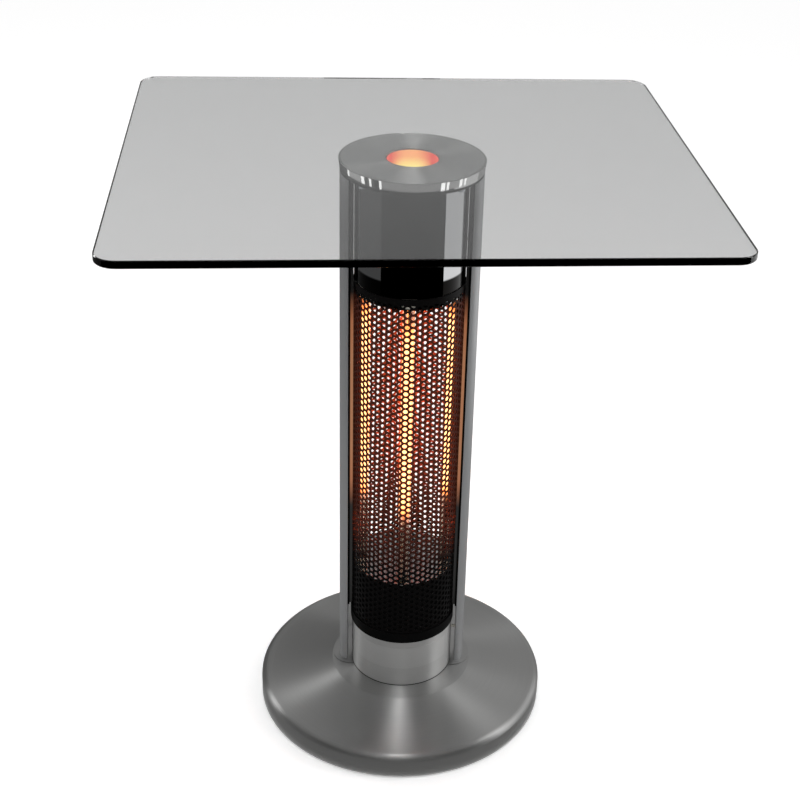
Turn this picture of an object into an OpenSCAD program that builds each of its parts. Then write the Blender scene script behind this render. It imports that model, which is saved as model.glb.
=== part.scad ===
// Electric patio heater with a glass table top.
// Frame: origin on the floor at the middle of the base, +Z up, front towards -Y.

/* [Overall] */
// Height from the floor to the top of the glass
total_h = 700; // [600:1:900]
// Diameter of the round base over its rim
base_d = 345; // [300:1:450]
// Turn of the column against the sides of the glass, about the vertical axis
column_turn = -4.6; // [-10:0.1:10]

/* [Glass top] */
// Width of the glass, left to right
glass_w = 600; // [400:1:900]
// Depth of the glass, front to back
glass_d = 540; // [400:1:900]
// Thickness of the glass
glass_t = 8; // [6:0.5:12]
// Radius of the corners of the glass
glass_corner_r = 22; // [5:1:60]
// Thickness of the clear bond between the glass and the disc
bond_t = 0.5; // [0.3:0.1:1.5]

/* [Top disc] */
// Thickness of the steel disc under the glass
disc_t = 10; // [8:0.5:16]
// How far the disc reaches past the posts at its top; its edge tapers back to them
disc_overhang = 1.2; // [0.5:0.1:10]
// Diameter of the light hole in the disc
light_hole_d = 54; // [30:1:60]
// Chamfer round the top of the light hole
hole_chamfer = 1; // [0.3:0.1:2]
// Thickness of the mounting plate under the disc
plate_t = 3; // [2:0.5:5]

/* [Column] */
// Outer diameter of the lower sleeve and of the guard
column_d = 122; // [114:1:160]
// Height of the lower sleeve
sleeve_h = 65.5; // [55:0.5:120]
// Wall of the sleeve and of the upper housing
sheet_t = 1.2; // [0.8:0.1:2]
// How much narrower the upper housing is than the guard, in diameter
housing_step = 2; // [1:0.5:6]
// Height of the upper housing
housing_h = 116.5; // [80:0.5:160]
// Thickness of the perforated guard
guard_t = 1; // [0.6:0.1:1.5]
// Height of the ring that the guard stands in
guard_ring_h = 13; // [8:0.5:20]
// How far the guard ring stands out past the sleeve
guard_ring_lip = 1.6; // [1:0.1:3]

/* [Posts] */
// Radius of the rounded outer face of a post
post_r = 13; // [12:0.5:18]
// Depth of a post, from its flat back to its outer face
post_depth = 10; // [9.5:0.5:12]
// Gap between the column and the flat back of a post
post_gap = 5.3; // [4.5:0.1:10]
// Wall of the post's hollow section
post_wall = 2; // [1.5:0.1:2.4]

/* [Heating elements] */
// Number of heating elements around the axis
element_count = 4; // [4:1:4]
// Outer diameter of a quartz tube
tube_d = 13; // [10:0.5:14]
// Wall of a quartz tube
tube_wall = 1; // [0.8:0.1:1.5]
// Distance from the outside of the guard to the middle of a tube
tube_inset = 12; // [11.5:0.5:14]
// Height of the lower reflector above the top of the sleeve
low_reflector_rise = 83; // [75:1:120]
// Depth of the upper reflector below the upper housing
top_reflector_drop = 14; // [8:1:30]
// Thickness of each reflector plate
reflector_t = 1.5; // [1:0.1:2]
// Length of unlit tube above the lower reflector
cold_end_low = 91; // [40:1:120]
// Length of unlit tube below the upper reflector
cold_end_top = 23; // [10:1:60]
// Gap between the coiled filament and the inside of its tube
filament_gap = 0.5; // [0.3:0.1:2]
// Diameter of a ceramic end cap
cap_d = 17; // [16:0.5:17]
// Height of a ceramic end cap
cap_h = 20; // [16:1:26]

/* [Base] */
// Height of the flat land that the column stands on
land_h = 45.5; // [42:0.5:60]
// How far the land reaches past the posts
land_margin = 8.7; // [8:0.1:20]
// Height of the base at the outer end of the flare
rim_h = 31.5; // [28:0.5:38]
// Radius of the rounded top of the rim
rim_r = 8; // [3:0.5:9]
// Sheet thickness of the base shell
shell_t = 1.5; // [1:0.1:2]
// How strongly the flare is hollowed, 1 is a straight cone
flare_power = 1.5; // [1:0.05:2]
// Height of the step around the foot of each post
pad_h = 0.8; // [0.4:0.1:2]
// How far that step reaches past the post
pad_margin = 6.5; // [3:0.5:7]
// Gap between the shell's lower edge and the floor
rim_lift = 2.5; // [1:0.5:4]
// Height of the rubber feet
foot_h = 5; // [4:0.5:8]
// Diameter of a rubber foot
foot_d = 26; // [16:1:40]
// Thickness of the bottom plate
bottom_t = 2; // [1.5:0.5:4]
// Thickness of the outer part of the cast ballast
ballast_t = 14; // [8:1:18]
// Gap between the ballast and the inside of the shell's rim
ballast_gap = 21; // [15:1:40]

/* [Controls and inlet] */
// Height of the power switch above the base land
switch_rise = 32; // [20:1:45]
// Diameter of the round bezel of the power switch
bezel_d = 23; // [22:0.5:26]
// Tilt of the rocker when it is on, to either side of level
rocker_tilt = 8; // [5:0.5:10]
// Travel of the plunger of the tip-over switch
plunger_travel = 4; // [2:0.5:5]
// Diameter of the mains cable that the gland takes
cable_d = 6.8; // [5:0.1:7]
// Height of the middle of the cable gland above the floor
gland_h = 15.5; // [15:0.1:17]

/* [Hidden] */
$fn = 96;

// Clearances
fit_gap = 0.3;      // between pieces that slip over each other
hole_gap = 0.2;     // between a screw and the hole it passes through
lead_gap = 0.5;     // between the end of a lead and the cap it feeds
cut = 1;            // how far a cutting solid runs past the face it cuts

// Heights, from the floor up
glass_z = total_h - glass_t;
disc_z = glass_z - bond_t - disc_t;
plate_z = disc_z - plate_t;
housing_z = plate_z - housing_h;
top_reflector_z = housing_z - top_reflector_drop;
sleeve_z = land_h;
ring_z = sleeve_z + sleeve_h;
low_reflector_z = ring_z + low_reflector_rise;
post_z = land_h + pad_h;

// Radii, from the axis out
column_r = column_d / 2;
housing_r = (column_d - housing_step) / 2;
guard_in_r = column_r - guard_t;
post_flat_x = column_r + post_gap;
post_out_r = post_flat_x + post_depth;
post_mid_x = post_out_r - post_r;
disc_r = post_out_r + disc_overhang;
top_plate_r = post_out_r - 0.5;
land_r = post_out_r + land_margin;
base_r = base_d / 2;
tube_x = column_r - tube_inset;
light_r = light_hole_d / 2;
reflector_r = guard_in_r - 1.5;
well_t = 1;

// Post section: screw channels and cavity
channel_r = 2.5;                      // hole that the post screws bite into
channel_boss_r = 3.9;
channel_x = post_flat_x + 4.6;
channel_y = 6.4;
post_screw_d = 4.8;
post_screw_len = 18;

// Machine screws
small_screw_d = 4;
disc_screw_d = 5;
disc_screw_len = plate_t + 6;
head_depth = 0.45;    // depth of a countersunk head, over the screw's diameter
head_width = 1.9;     // width of a countersunk head, over the screw's diameter

// Guard rails and trims, in the gap between the column and the posts
trim_x = column_r + 0.2;
trim_t = 3;
trim_w = 7;
rail_x = trim_x + trim_t;
rail_w = 15;
rail_end = 2;

// Guard ring
ring_shelf_t = 3;
ring_spigot_h = 7;
ring_in_r = column_r - 11;
spigot_r = column_r - sheet_t - fit_gap;
spigot_t = 1.5;

// Blank rating plate, wrapped round the front of the sleeve
plate_angle = 118;
plate_low = 26;
plate_tall = 30;
plate_skin = 0.25;

// Element supports
bracket_t = 2;
can_t = 1;
can_r = column_r - 7;
cap_seat = 12;                        // how deep a tube sits in its cap
spacer_r = 3;
spacer_x = tube_x + 5;
lead_r = 1.25;
tail_r = 0.8;                         // straight wire at each end of a filament
low_cap_z = low_reflector_z - reflector_t - cap_h;
top_cap_z = top_reflector_z + reflector_t;
low_bracket_z = low_cap_z - bracket_t;
top_bracket_z = top_cap_z + cap_h;
tube_z = low_cap_z + cap_h - cap_seat;
tube_end_z = top_cap_z + cap_seat;
hanger_r = 3;

// Terminal block, cut-out and leads under the lower bracket
block_size = [30, 18, 14];
terminal_step = [9, 4.5];
terminal_d = 4;
terminal_depth = 6;
cutout_d = 16;
cutout_h = 8;
element_lead_z = low_bracket_z - 8;
riser_r = 1.75;
riser_x = post_flat_x + post_wall + 2.6;
riser_low_z = ring_z - 20;
riser_top_z = housing_z + 40;
riser_hole_r = riser_r + 0.9;
upper_lead_z = top_bracket_z + bracket_t + 12;

// Base
rim_in_r = base_r - rim_r;
collar_t = 2;
collar_r = column_r - sheet_t - fit_gap;
collar_in_r = collar_r - 12;
collar_h = 10;
shell_hole_r = collar_in_r - 6;
anchor_t = 4;
anchor_z = land_h - shell_t - anchor_t;
anchor_r = post_out_r + 3.5;
hub_in_r = collar_in_r + 1;
ballast_z = foot_h + bottom_t;
ballast_r = base_r - shell_t - ballast_gap;
bottom_r = base_r - shell_t - fit_gap;
bolt_d = 6;
bolt_x = (hub_in_r + anchor_r) / 2;
bolt_turn = 45;
collar_screw_x = (collar_in_r + collar_r - collar_t) / 2;
disc_screw_x = top_plate_r - 5;
housing_screw_x = housing_r - 9;
foot_x = base_r - 32;
foot_stem_r = 3.8;                    // stem pressed into the bottom plate
cable_slot_w = 16;

// Power switch, on the back of the sleeve
switch_z = sleeve_z + switch_rise;
bezel_t = 2.2;
switch_r = bezel_d / 2 - 1.5;
switch_len = 22;
rocker_w = 11;
rocker_len = 14;
rocker_gap = 0.4;
rocker_rim = 2.2;
rocker_y = column_r + bezel_t - 2.4;
rocker_hub_r = 3;
pocket_depth = 7;

// Tip-over switch, under the base
tip_x = 26;
tip_size = [22, 14, 26];
tip_z = foot_h + bottom_t;
plunger_r = 3;
plunger_gap = 0.3;
plunger_head_r = 5;
plunger_head_t = 2;
plunger_head_z = tip_z + plunger_travel + 1.5;
spring_r = 4.2;
spring_wire = 0.8;
chamber_r = 5.4;
chamber_z = tip_z + 1.2;
chamber_h = 21;

// Cable gland, through the back of the rim
gland_r = 6;
gland_flange_r = 8.6;
gland_flange_t = 5;
gland_cap_r = 7.6;
gland_cap_len = 9;
gland_inside = 12;
gland_nut_t = 4;
mains_in_y = base_r - shell_t - gland_inside;

// Steps and formulas of the base's outline
function flare_z(r) = rim_h + (land_h - rim_h) * pow((rim_in_r - r) / (rim_in_r - land_r), flare_power);
flare_steps = 14;
rim_steps = 6;
function flare_points(drop) = [for (i = [0 : flare_steps])
    let (r = land_r + (rim_in_r - land_r) * i / flare_steps) [r, flare_z(r) - drop]];
function rim_points(radius) = [for (i = [1 : rim_steps])
    let (a = 90 - 90 * i / rim_steps)
    [rim_in_r + radius * cos(a), rim_h - rim_r + radius * sin(a)]];

// ---- Building blocks ----

module turned() rotate([0, 0, column_turn]) children();

module around(count, x, start = 0)
    for (i = [0 : count - 1]) rotate([0, 0, start + i * 360 / count]) translate([x, 0, 0]) children();

module pipe(r_out, r_in, z, h)
    translate([0, 0, z]) difference() {
        cylinder(r = r_out, h = h);
        translate([0, 0, -cut]) cylinder(r = r_in, h = h + 2 * cut);
    }

// A hole through a plate of thickness h whose lower face is at z
module bore(d, z, h) translate([0, 0, z - cut]) cylinder(d = d, h = h + 2 * cut, $fn = 48);

// A hole out along X at height z, for the riser lead
module riser_hole(z, reach)
    translate([0, 0, z]) rotate([0, 90, 0]) cylinder(r = riser_hole_r, h = reach, $fn = 32);

// A screw standing on its head's inner face at z = 0, its shank going up
module screw(d, len, head_d, head_h) {
    cylinder(d = d, h = len, $fn = 32);
    translate([0, 0, -head_h]) difference() {
        cylinder(d = head_d, h = head_h, $fn = 48);
        translate([0, 0, -cut]) cylinder(r = d * 0.32, h = head_h * 0.6 + cut, $fn = 6);
    }
}

module each_post_screw() turned() for (side = [0, 180], y = [-channel_y, channel_y])
    rotate([0, 0, side]) translate([channel_x, y, 0]) children();

// A round wire through a list of points
module wire(points, r) {
    for (i = [0 : len(points) - 2]) {
        a = points[i];
        d = points[i + 1] - a;
        translate(a) rotate([0, acos(d[2] / norm(d)), atan2(d[1], d[0])])
            cylinder(r = r, h = norm(d), $fn = 24);
    }
    for (i = [1 : 1 : len(points) - 2]) translate(points[i]) sphere(r = r * 1.02, $fn = 24);
}

// ---- Table top ----

module glass_top() color([0.35, 0.37, 0.38, 0.5])
    translate([0, 0, glass_z]) linear_extrude(glass_t) union() {
        square([glass_w, glass_d - 2 * glass_corner_r], center = true);
        square([glass_w - 2 * glass_corner_r, glass_d], center = true);
        for (x = [-1, 1], y = [-1, 1])
            translate([x * (glass_w / 2 - glass_corner_r), y * (glass_d / 2 - glass_corner_r)])
                circle(r = glass_corner_r);
    }

module glass_bond() color([0.8, 0.85, 0.85, 0.4])
    pipe(disc_r - 2, light_r + 3, glass_z - bond_t, bond_t);

module top_disc() color("silver") difference() {
    translate([0, 0, disc_z]) cylinder(r1 = post_out_r, r2 = disc_r, h = disc_t);
    translate([0, 0, disc_z - cut]) cylinder(r = light_r, h = disc_t + 2 * cut);
    translate([0, 0, disc_z + disc_t - hole_chamfer])
        cylinder(r1 = light_r, r2 = light_r + 2 * hole_chamfer, h = 2 * hole_chamfer);
    turned() around(4, disc_screw_x, 45)
        translate([0, 0, disc_z - cut]) cylinder(d = disc_screw_d, h = 7 + cut, $fn = 32);
}

module top_plate() color([0.12, 0.12, 0.13]) difference() {
    translate([0, 0, plate_z]) cylinder(r = top_plate_r, h = plate_t);
    translate([0, 0, plate_z - cut]) cylinder(r = light_r + well_t + fit_gap, h = plate_t + 2 * cut);
    turned() around(4, disc_screw_x, 45) bore(disc_screw_d + 2 * hole_gap, plate_z, plate_t);
    each_post_screw() translate([0, 0, plate_z]) countersink(post_screw_d);
    turned() around(4, housing_screw_x, 0) translate([0, 0, plate_z]) countersink(small_screw_d);
    turned() around(4, spacer_x, 45) bore(small_screw_d + 2 * hole_gap, plate_z, plate_t);
}

// Hole for a countersunk screw whose head is flush with the top of the plate
module countersink(d) {
    bore(d + 2 * hole_gap, 0, plate_t);
    translate([0, 0, plate_t - d * head_depth])
        cylinder(d1 = d + 2 * hole_gap, d2 = d * head_width + 2 * hole_gap,
                 h = d * head_depth + 0.01, $fn = 48);
}

// Countersunk screw with its flat head at z = 0, its shank going down
module flat_screw(d, len) difference() {
    union() {
        translate([0, 0, -len]) cylinder(d = d, h = len, $fn = 32);
        translate([0, 0, -d * head_depth])
            cylinder(d1 = d, d2 = d * head_width, h = d * head_depth, $fn = 48);
    }
    translate([0, 0, -d * 0.3]) cylinder(r = d * 0.3, h = d, $fn = 6);
}

module disc_screws() color("dimgray") turned() around(4, disc_screw_x, 45)
    translate([0, 0, plate_z]) screw(disc_screw_d, disc_screw_len, 8.5, 3);

module housing_screws() color("dimgray") turned() around(4, housing_screw_x, 0)
    translate([0, 0, disc_z]) flat_screw(small_screw_d, plate_t + sheet_t + 3);

module post_head_screws() color("dimgray") each_post_screw()
    translate([0, 0, disc_z]) flat_screw(post_screw_d, post_screw_len);

// ---- Upper housing and what hangs in it ----

module upper_housing() color("gainsboro") turned() difference() {
    translate([0, 0, housing_z]) cylinder(r = housing_r, h = housing_h);
    translate([0, 0, housing_z - cut]) cylinder(r = housing_r - sheet_t, h = housing_h - sheet_t + cut);
    translate([0, 0, housing_z]) cylinder(r = housing_r - 16, h = housing_h + cut);
    around(4, housing_screw_x, 0) bore(small_screw_d + 2 * hole_gap, plate_z - sheet_t, sheet_t);
    around(4, spacer_x, 45) bore(2 * (hanger_r + fit_gap), plate_z - sheet_t, sheet_t);
    riser_hole(riser_top_z, housing_r + cut);
}

module light_well() color("silver") difference() {
    union() {
        translate([0, 0, top_cap_z]) cylinder(r = light_r + well_t, h = disc_z - top_cap_z);
        translate([0, 0, top_cap_z]) cylinder(r = light_r + well_t + 3, h = well_t);
    }
    translate([0, 0, top_cap_z - cut]) cylinder(r = light_r, h = disc_z - top_cap_z + 2 * cut);
}

module upper_hangers() color("dimgray") turned() around(4, spacer_x, 45) {
    translate([0, 0, top_bracket_z + bracket_t])
        cylinder(r = hanger_r, h = plate_z - top_bracket_z - bracket_t, $fn = 48);
    translate([0, 0, plate_z - cut]) cylinder(d = small_screw_d, h = plate_t + cut - fit_gap, $fn = 32);
}

module element_holes(z, h, r) turned() around(element_count, tube_x) bore(2 * r, z, h);

module upper_bracket() color([0.1, 0.1, 0.1]) difference() {
    translate([0, 0, top_bracket_z]) cylinder(r = housing_r - sheet_t - fit_gap, h = bracket_t);
    translate([0, 0, top_bracket_z - cut])
        cylinder(r = light_r + well_t + fit_gap, h = bracket_t + 2 * cut);
    element_holes(top_bracket_z, bracket_t, lead_r + 0.6);
}

module spacers(z, h) turned() around(4, spacer_x, 45) pipe(spacer_r, 1.6, z, h, $fn = 48);

module upper_spacers() color("silver") spacers(top_cap_z, cap_h);

module upper_reflector() color("whitesmoke") difference() {
    translate([0, 0, top_reflector_z]) cylinder(r = reflector_r, h = reflector_t);
    translate([0, 0, top_reflector_z - cut]) cylinder(r = light_r, h = reflector_t + 2 * cut);
    element_holes(top_reflector_z, reflector_t, tube_d / 2 + fit_gap);
}

// Ceramic cap with its tube socket opening downwards from z = 0
module cap_down() difference() {
    cylinder(d = cap_d, h = cap_h, $fn = 48);
    translate([0, 0, -cut]) cylinder(d = tube_d + 2 * hole_gap, h = cap_seat + cut, $fn = 48);
    translate([0, 0, -cut]) cylinder(r = lead_r + 0.2, h = cap_h + 2 * cut, $fn = 24);
}

module caps_upper() color("ivory") turned() around(element_count, tube_x)
    translate([0, 0, top_cap_z]) cap_down();
module caps_lower() color("ivory") turned() around(element_count, tube_x)
    translate([0, 0, low_cap_z + cap_h]) mirror([0, 0, 1]) cap_down();

module upper_leads() color("white") turned() {
    translate([0, 0, upper_lead_z]) rotate_extrude() translate([tube_x, 0]) circle(r = lead_r, $fn = 24);
    around(element_count, tube_x) translate([0, 0, top_cap_z + cap_seat + lead_gap])
        cylinder(r = lead_r, h = upper_lead_z - top_cap_z - cap_seat - lead_gap, $fn = 24);
}

// ---- Heating elements ----

module quartz_tube(angle) color([1, 0.75, 0.4, 0.5]) turned() rotate([0, 0, angle])
    translate([tube_x, 0, 0])
        pipe(tube_d / 2, tube_d / 2 - tube_wall, tube_z, tube_end_z - tube_z, $fn = 64);

filament_z = low_reflector_z + cold_end_low;
filament_h = top_reflector_z - cold_end_top - filament_z;

module filament(angle) color("orange") turned() rotate([0, 0, angle]) translate([tube_x, 0, 0]) {
    translate([0, 0, filament_z])
        cylinder(r = tube_d / 2 - tube_wall - filament_gap, h = filament_h, $fn = 32);
    translate([0, 0, tube_z]) cylinder(r = tail_r, h = tube_end_z - tube_z, $fn = 24);
}

module quartz_tube_front() quartz_tube(270);
module quartz_tube_right() quartz_tube(0);
module quartz_tube_back() quartz_tube(90);
module quartz_tube_left() quartz_tube(180);
module filament_front() filament(270);
module filament_right() filament(0);
module filament_back() filament(90);
module filament_left() filament(180);

module mesh_guard() color([0.16, 0.15, 0.15])
    pipe(column_r, guard_in_r, ring_z + ring_shelf_t, housing_z - fit_gap - ring_z - ring_shelf_t);

// ---- Posts, rails and trims ----

module rail_strip(x, t, w) {
    z = ring_z + guard_ring_h + rail_end;
    translate([x, -w / 2, z]) cube([t, w, plate_z - rail_end - z]);
}

module guard_rail(angle) color([0.08, 0.08, 0.08]) turned() rotate([0, 0, angle]) difference() {
    rail_strip(rail_x, post_flat_x - rail_x, rail_w);
    riser_hole(riser_top_z, post_flat_x + cut);
}
module guard_trim(angle) color("silver") turned() rotate([0, 0, angle]) difference() {
    rail_strip(trim_x, trim_t, trim_w);
    riser_hole(riser_top_z, post_flat_x + cut);
}
module guard_rail_left() guard_rail(180);
module guard_rail_right() guard_rail(0);
module guard_trim_left() guard_trim(180);
module guard_trim_right() guard_trim(0);

module post_outline(inset) intersection() {
    translate([post_mid_x, 0]) circle(r = post_r - inset);
    translate([post_flat_x + inset, -post_r]) square([post_depth, 2 * post_r]);
}

module post(angle) color("darkgray") turned() rotate([0, 0, angle]) difference() {
    translate([0, 0, post_z]) linear_extrude(plate_z - post_z) difference() {
        post_outline(0);
        difference() {
            post_outline(post_wall);
            for (y = [-channel_y, channel_y])
                translate([channel_x, y]) circle(r = channel_boss_r, $fn = 48);
        }
        for (y = [-channel_y, channel_y]) translate([channel_x, y]) circle(r = channel_r, $fn = 32);
    }
    riser_hole(riser_low_z, riser_x);
    riser_hole(riser_top_z, riser_x);
}
module post_left() post(180);
module post_right() post(0);

// ---- Lower element support ----

module lower_reflector() color("whitesmoke") difference() {
    translate([0, 0, low_reflector_z - reflector_t]) cylinder(r = reflector_r, h = reflector_t);
    element_holes(low_reflector_z - reflector_t, reflector_t, tube_d / 2 + fit_gap);
}

module lower_spacers() color("silver") spacers(low_cap_z, cap_h);

module lower_bracket() color([0.1, 0.1, 0.1]) difference() {
    translate([0, 0, low_bracket_z]) cylinder(r = reflector_r, h = bracket_t);
    element_holes(low_bracket_z, bracket_t, lead_r + 0.6);
}

module element_can() color([0.1, 0.1, 0.1])
    pipe(can_r, can_r - can_t, ring_z + ring_shelf_t, low_bracket_z - ring_z - ring_shelf_t);

module element_leads() color("white") turned() around(element_count, 0) {
    inner = block_size[0] / 2 + 3;
    wire([[inner, 0, element_lead_z],
          [tube_x, 0, element_lead_z],
          [tube_x, 0, low_cap_z + cap_h - cap_seat - lead_gap]], lead_r);
}

module riser_lead() color("white") turned()
    wire([[can_r - 14, 0, riser_low_z - 6],
          [can_r - 8, 0, riser_low_z],
          [riser_x, 0, riser_low_z],
          [riser_x, 0, riser_top_z],
          [housing_r - 6, 0, riser_top_z],
          [tube_x, 0, upper_lead_z + lead_r + riser_r]], riser_r);

module terminal_block() color("ivory") turned() difference() {
    translate([-block_size[0] / 2, -block_size[1] / 2, low_bracket_z - block_size[2]]) cube(block_size);
    for (x = [-1, 0, 1], y = [-1, 1])
        translate([x * terminal_step[0], y * terminal_step[1], low_bracket_z - block_size[2] - cut])
            cylinder(d = terminal_d, h = terminal_depth + cut, $fn = 32);
}

module thermal_cutout() color("gray") turned() rotate([0, 0, 45])
    translate([can_r / 2 + 3, 0, low_bracket_z - cutout_h])
        cylinder(d = cutout_d, h = cutout_h, $fn = 48);

// ---- Guard ring, sleeve and collar ----

module guard_ring() color([0.06, 0.06, 0.06]) difference() {
    union() {
        translate([0, 0, ring_z]) cylinder(r = column_r + guard_ring_lip, h = guard_ring_h);
        translate([0, 0, ring_z - ring_spigot_h]) cylinder(r = spigot_r, h = ring_spigot_h + cut);
    }
    translate([0, 0, ring_z - ring_spigot_h - cut]) cylinder(r = ring_in_r, h = 100);
    translate([0, 0, ring_z - ring_spigot_h - cut])
        cylinder(r = spigot_r - spigot_t, h = ring_spigot_h + cut);
    translate([0, 0, ring_z + ring_shelf_t]) cylinder(r = column_r + 0.1, h = guard_ring_h);
}

module lower_housing() color("silver") difference() {
    pipe(column_r, column_r - sheet_t, sleeve_z, sleeve_h);
    translate([0, 0, switch_z]) rotate([-90, 0, 0]) cylinder(r = switch_r + 0.1, h = column_r + cut);
    turned() riser_hole(riser_low_z, column_r + cut);
}

module rating_plate() color("lightgray") intersection() {
    pipe(column_r + plate_skin, column_r, sleeve_z + plate_low, plate_tall);
    rotate([0, 0, column_turn - 90 - plate_angle / 2]) rotate_extrude(angle = plate_angle)
        translate([column_r - 5, sleeve_z]) square([10, sleeve_h]);
}

module lower_collar() color("gray") difference() {
    union() {
        translate([0, 0, land_h]) cylinder(r = collar_r, h = collar_t);
        pipe(collar_r, collar_r - collar_t, land_h, collar_h);
    }
    translate([0, 0, land_h - cut]) cylinder(r = collar_in_r, h = collar_h + 2 * cut);
    around(4, collar_screw_x, 45) bore(small_screw_d + 2 * hole_gap, land_h, collar_t);
}

module collar_screws() color("dimgray") around(4, collar_screw_x, 45)
    translate([0, 0, land_h + collar_t]) mirror([0, 0, 1])
        screw(small_screw_d, collar_t + shell_t + 3, 7, 2.4);

// ---- Power switch ----

module at_switch() translate([0, 0, switch_z]) rotate([-90, 0, 0]) children();

module switch_body() color([0.07, 0.07, 0.07]) at_switch() difference() {
    union() {
        translate([0, 0, column_r]) cylinder(d = bezel_d, h = bezel_t);
        translate([0, 0, column_r - switch_len]) cylinder(r = switch_r, h = switch_len);
        for (x = [-5, 5]) translate([x - 0.4, -3, column_r - switch_len - 6]) cube([0.8, 6, 7]);
    }
    translate([-rocker_w / 2 - rocker_gap, -rocker_len / 2 - rocker_gap, rocker_y - pocket_depth])
        cube([rocker_w + 2 * rocker_gap, rocker_len + 2 * rocker_gap, 20]);
}

// Rocker, shown switched on; its pivot runs along X through rocker_y and switch_z
module switch_rocker() color([0.12, 0.12, 0.12])
    translate([0, rocker_y, switch_z]) rotate([rocker_tilt, 0, 0])
    rotate([90, 0, 90]) linear_extrude(rocker_w, center = true) union() {
        polygon([[-1.5, -rocker_len / 2 + 0.6], [rocker_rim, -rocker_len / 2 + 0.3], [0.9, 0],
                 [rocker_rim, rocker_len / 2 - 0.3], [-1.5, rocker_len / 2 - 0.6]]);
        circle(r = rocker_hub_r, $fn = 48);
    }

// ---- Base ----

module base_shell() color("silver") difference() {
    union() {
        rotate_extrude($fn = 180) polygon(concat(
            [[shell_hole_r, land_h]], flare_points(0), rim_points(rim_r), [[base_r, rim_lift]],
            [[base_r - shell_t, rim_lift]],
            [for (i = [rim_steps - 1 : -1 : 0]) rim_points(rim_r - shell_t)[i]],
            [for (i = [flare_steps : -1 : 0]) flare_points(shell_t)[i]],
            [[shell_hole_r, land_h - shell_t]]));
        turned() for (side = [0, 180]) rotate([0, 0, side]) difference() {
            translate([post_mid_x, 0, land_h - shell_t / 2])
                cylinder(r = post_r + pad_margin, h = pad_h + shell_t / 2);
            translate([0, 0, land_h - shell_t]) cylinder(r = column_r + fit_gap, h = shell_t + pad_h + cut);
        }
    }
    each_post_screw() bore(post_screw_d + 2 * hole_gap, land_h - shell_t, shell_t + pad_h);
    around(4, collar_screw_x, 45) bore(small_screw_d + 2 * hole_gap, land_h - shell_t, shell_t);
    translate([0, base_r - 10, gland_h]) rotate([-90, 0, 0]) cylinder(r = gland_r + 0.15, h = 20, $fn = 64);
}

module anchor_plate() color("gray") difference() {
    translate([0, 0, anchor_z]) cylinder(r = anchor_r, h = anchor_t);
    translate([0, 0, anchor_z - cut]) cylinder(r = shell_hole_r, h = anchor_t + 2 * cut);
    each_post_screw() bore(post_screw_d + 2 * hole_gap, anchor_z, anchor_t);
    around(4, bolt_x, bolt_turn) bore(bolt_d, anchor_z, anchor_t);
    around(4, collar_screw_x, 45) bore(small_screw_d, anchor_z, anchor_t);
}

module base_ballast() color([0.2, 0.2, 0.2]) difference() {
    union() {
        translate([0, 0, ballast_z]) cylinder(r = ballast_r, h = ballast_t);
        translate([0, 0, ballast_z]) cylinder(r = anchor_r, h = anchor_z - ballast_z);
    }
    translate([0, 0, ballast_z - cut]) cylinder(r = hub_in_r, h = anchor_z);
    translate([-cable_slot_w / 2, 0, ballast_z - cut])
        cube([cable_slot_w, ballast_r + cut, ballast_t + 2 * cut]);
    around(4, bolt_x, bolt_turn) bore(bolt_d + 2 * hole_gap, ballast_z, anchor_z - ballast_z);
    each_post_screw() translate([0, 0, anchor_z - 5]) cylinder(r = 5.4, h = 5 + cut, $fn = 32);
}

module base_plate() color("dimgray") difference() {
    translate([0, 0, foot_h]) cylinder(r = bottom_r, h = bottom_t);
    translate([tip_x, 0, 0]) bore(2 * (plunger_r + plunger_gap), foot_h, bottom_t);
    around(4, bolt_x, bolt_turn) bore(bolt_d + 2 * hole_gap, foot_h, bottom_t);
    around(4, foot_x, bolt_turn) bore(2 * (foot_stem_r + hole_gap), foot_h, bottom_t);
}

module base_feet() color([0.05, 0.05, 0.05]) around(4, foot_x, bolt_turn) {
    cylinder(d1 = foot_d - 3, d2 = foot_d, h = 1.5, $fn = 64);
    translate([0, 0, 1.5]) cylinder(d = foot_d, h = foot_h - 1.5, $fn = 64);
    translate([0, 0, foot_h - cut]) cylinder(r = foot_stem_r, h = bottom_t + cut, $fn = 32);
}

module base_bolts() color("dimgray") around(4, bolt_x, bolt_turn)
    translate([0, 0, foot_h]) screw(bolt_d, anchor_z + anchor_t - foot_h - 0.5, 11, 3);

module post_foot_screws() color("dimgray") each_post_screw()
    translate([0, 0, anchor_z]) screw(post_screw_d, post_screw_len, 9, 4);

// ---- Tip-over switch ----

module tip_switch_body() color([0.1, 0.1, 0.1]) translate([tip_x, 0, 0]) difference() {
    translate([-tip_size[0] / 2, -tip_size[1] / 2, tip_z]) cube(tip_size);
    translate([0, 0, chamber_z]) cylinder(r = chamber_r, h = chamber_h, $fn = 48);
    bore(2 * (plunger_r + plunger_gap), tip_z, chamber_z - tip_z);
}

module tip_plunger() color("orangered") translate([tip_x, 0, 0]) {
    cylinder(r1 = plunger_r - 0.6, r2 = plunger_r, h = 0.6, $fn = 48);
    translate([0, 0, 0.6]) cylinder(r = plunger_r, h = plunger_head_z - 0.6, $fn = 48);
    translate([0, 0, plunger_head_z]) cylinder(r = plunger_head_r, h = plunger_head_t, $fn = 48);
}

module tip_spring() color("silver") translate([tip_x, 0, 0])
    pipe(spring_r, spring_r - spring_wire, plunger_head_z + plunger_head_t,
         chamber_z + chamber_h - plunger_head_z - plunger_head_t, $fn = 48);

// ---- Cable gland and internal mains lead ----

module at_gland() translate([0, base_r, gland_h]) rotate([-90, 0, 0]) children();

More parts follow.
